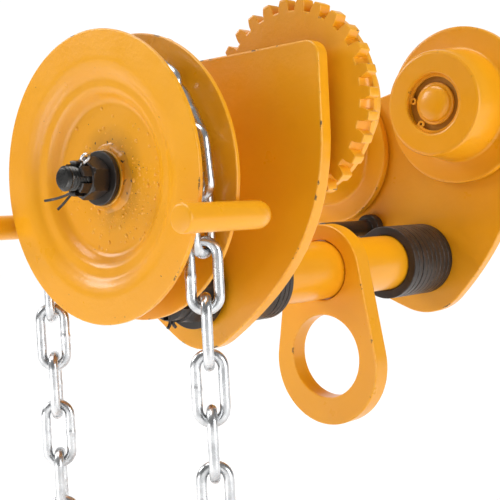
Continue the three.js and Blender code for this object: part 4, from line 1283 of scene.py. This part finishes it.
def link_mesh(i):
    """One welded link: straight legs, round ends, and the butt weld half way along one leg."""
    (x0, z0), (x1, z1) = chain_joints[i], chain_joints[i + 1]
    cx, cz = (x0 + x1) / 2, (z0 + z1) / 2
    angle = atan2(z1 - z0, x1 - x0)
    twist = pi / 4 * max(-1.0, min(1.0, cx / 40)) * smooth_step((-8 - cz) / 40)
    roll = twist + (0 if i % 2 == 0 else pi / 2)
    bend = (LINK_W - WIRE) / 2
    reach = (PITCH + 0.6 + WIRE) / 2 - bend
    path = []
    radii = []
    for side in (1, -1):
        for k in range(17):
            a = -pi / 2 + pi * k / 16
            path.append((side * (reach + bend * cos(a)), side * bend * sin(a), 0))
            radii.append(WIRE / 2)
        for k in range(1, 16):
            along = reach - 2 * reach * k / 16
            path.append((side * along, side * bend, 0))
            weld = 0.26 * exp(-((along / 1.1) ** 2)) if side > 0 else 0.0
            radii.append(WIRE / 2 + weld)
    slack = LIFT * smooth_step((LIFT_FROM_Z - cz) / LIFT_OVER)
    centre = Matrix.Translation((cx, CHAIN_Y, cz + SHAFT_Z + slack))
    place = centre @ Matrix.Rotation(-angle, 4, "Y") @ Matrix.Rotation(roll, 4, "X")
    return sweep_points([place @ Vector(p) for p in path], radii, closed=True, sides=20)


runs = [("chain_links_upper", "hand_chain_upper", "frame", range(UPPER_LINKS))]
first_link = UPPER_LINKS
for number, count in enumerate((4, 3, 4, 3, 4), 1):
    indices = range(first_link, first_link + count)
    runs.append((f"chain_links_{number}", f"hand_chain_loop_{number}", "chain_loop", indices))
    first_link += count
for name, node, body, indices in runs:
    verts, faces = combine([link_mesh(i) for i in indices])
    make_piece(name, verts, faces, "zinc", body, [node], sharp=60)


# ---- Pocket ring ----
POCKET_FLOOR_R = 45.5


def pocket_ring():
    """The groove's floor, with seven pairs of rounded lobes between the flat links."""
    count = 280
    (ax, az), (bx, bz) = chain_joints[5], chain_joints[6]
    phase = atan2(az + bz, ax + bx)
    angles = even(count)

    def lobe(height):
        def radius(j):
            away = (angles[j] - phase) % (2 * TAU / PER_TURN)
            away = min(away, 2 * TAU / PER_TURN - away) * 50
            return POCKET_FLOOR_R + height * smooth_step((5.0 - away) / 2.0)

        return radius

    half = [(HUB_R + GAP, 12), (40.3, 12), (43, 9.2), (45.3, 8.25), (POCKET_FLOOR_R, 8.4)]
    half += [(lobe(0.4), 8.45), (lobe(6.2), 8.75), (lobe(6.9), 9.1), (lobe(6.9), 9.6)]
    half += [(lobe(6.2), 9.95), (lobe(0.3), 10.05), (POCKET_FLOOR_R, 10.3)]
    rings = [(r, HAND_Y + y) for r, y in half]
    rings += [(r, HAND_Y + HAND_WHEEL_W - y) for r, y in reversed(half)]
    spun("pockets", rings, angles, "paint", "hand_wheel", ["pocket_ring"], 0, SHAFT_Z, 45)


pocket_ring()

# ---- Chain guide ----
GUIDE_R = 6.5
GUIDE_X = 77.0
GUIDE_Z = SHAFT_Z - 21.3
GUIDE_BEND = 12.0
GUIDE_BACK_Y = HAND_Y + 36
GUIDE_END_Y = HAND_Y - 19.2

guide_half = []
guide_radii = []
for step, shrink in ((0.0, 1.3), (0.12, 0.75), (0.4, 0.3), (0.9, 0.05), (1.6, 0.0), (2.6, 0.0)):
    guide_half.append((GUIDE_X, GUIDE_END_Y + step, GUIDE_Z))
    guide_radii.append(GUIDE_R - shrink)
for k in range(13):
    a = pi / 2 * k / 12
    bend_x = GUIDE_X - GUIDE_BEND + GUIDE_BEND * cos(a)
    bend_y = GUIDE_BACK_Y - GUIDE_BEND + GUIDE_BEND * sin(a)
    guide_half.append((bend_x, bend_y, GUIDE_Z))
    guide_radii.append(GUIDE_R)
guide_path = guide_half + [(-x, y, z) for x, y, z in reversed(guide_half)]
verts, faces = sweep_points(guide_path, guide_radii + guide_radii[::-1], sides=48)
make_piece("guide_bar", verts, faces, "paint_smooth", "frame", ["chain_guide"], sharp=40)

# ---- Floor, light and camera ----
FLOOR_HALF = 4  # metres
FLOOR_BELOW = 0.001
floor_mesh = bpy.data.meshes.new("floor")
corners = ((-1, -1), (1, -1), (1, 1), (-1, 1))
floor_mesh.from_pydata([(x * FLOOR_HALF, y * FLOOR_HALF, 0) for x, y in corners], [], [(0, 1, 2, 3)])
floor = bpy.data.objects.new("floor", floor_mesh)
floor.location.z = cad_box[0].z - FLOOR_BELOW
bpy.context.scene.collection.objects.link(floor)
floor_material, _, floor_shader = new_material("floor")
floor_shader.inputs["Base Color"].default_value = (1.0, 1.0, 1.0, 1)
floor_shader.inputs["Roughness"].default_value = 0.8
floor_mesh.materials.append(floor_material)

BACKDROP = (-0.66, 0.75, 0.0)  # the side of the studio that the white backdrop is on
world = bpy.data.worlds.new("studio")
world.use_nodes = True
world_tree = NodeTree(world.node_tree)
facing = {0: world_tree.coordinates("Generated"), 1: BACKDROP}
toward = world_tree.add("VectorMath", facing, operation="DOT_PRODUCT").outputs["Value"]
strength = world_tree.remap(toward, 0.5, 0.88, 0.22, 1.05)
world_tree.fill(world_tree.nodes["Background"], {"Strength": strength, "Color": (1, 1, 1, 1)})
bpy.context.scene.world = world


def add_light(kind, name, place, target, power, size=None, angle=None):
    """A sun or a rectangular soft light, pointed at the target. Metres, and degrees for the sun."""
    data = bpy.data.lights.new(name, kind)
    data.energy = power
    if size:
        data.shape = "RECTANGLE"
        data.size, data.size_y = size
    if angle:
        data.angle = radians(angle)
    lamp = bpy.data.objects.new(name, data)
    bpy.context.scene.collection.objects.link(lamp)
    lamp.location = place
    lamp.rotation_euler = (Vector(target) - Vector(place)).to_track_quat("-Z", "Y").to_euler()


add_light("SUN", "overhead", (-0.25, -0.2, 1.5), (0, 0, 0), 2.3, angle=45)
add_light("AREA", "softbox_right", (1.6, 0.05, 0.1), (0, -0.05, 0), 14, size=(0.8, 1.1))
add_light("AREA", "softbox_left", (-1.25, -0.95, 0.78), (0, -0.15, 0), 9.0, size=(0.55, 0.55))
add_light("AREA", "reflector_low", (-0.14, -0.62, -0.17), (0, -0.177, 0), 0.5, size=(0.3, 0.18))

# The camera, solved from the circles and plate edges that the photograph shows.
FOCAL_PX = 1026.527
PICTURE_PX = 500
SENSOR_MM = 36
CAMERA_PLACE = (0.3841, -0.4909, -0.0215)
YAW, PITCH_DOWN, ROLL = (radians(a) for a in (42.357, -1.836, -2.918))
level = Vector((cos(YAW), sin(YAW), 0))
ahead = Vector((-sin(YAW), cos(YAW), 0))
forward = ahead * cos(PITCH_DOWN) + Vector((0, 0, sin(PITCH_DOWN)))
upright = level.cross(forward)
right = cos(ROLL) * level + sin(ROLL) * upright
up = -sin(ROLL) * level + cos(ROLL) * upright
camera_data = bpy.data.cameras.new("camera")
camera_data.sensor_width = SENSOR_MM
camera_data.lens = SENSOR_MM * FOCAL_PX / PICTURE_PX
camera_data.clip_start = 0.01
camera = bpy.data.objects.new("camera", camera_data)
bpy.context.scene.collection.objects.link(camera)
basis = Matrix((right, up, -forward)).transposed().to_4x4()
camera.matrix_world = Matrix.Translation(CAMERA_PLACE) @ basis
bpy.context.scene.camera = camera
bpy.context.scene.view_settings.view_transform = "Standard"

bpy.context.view_layer.update()
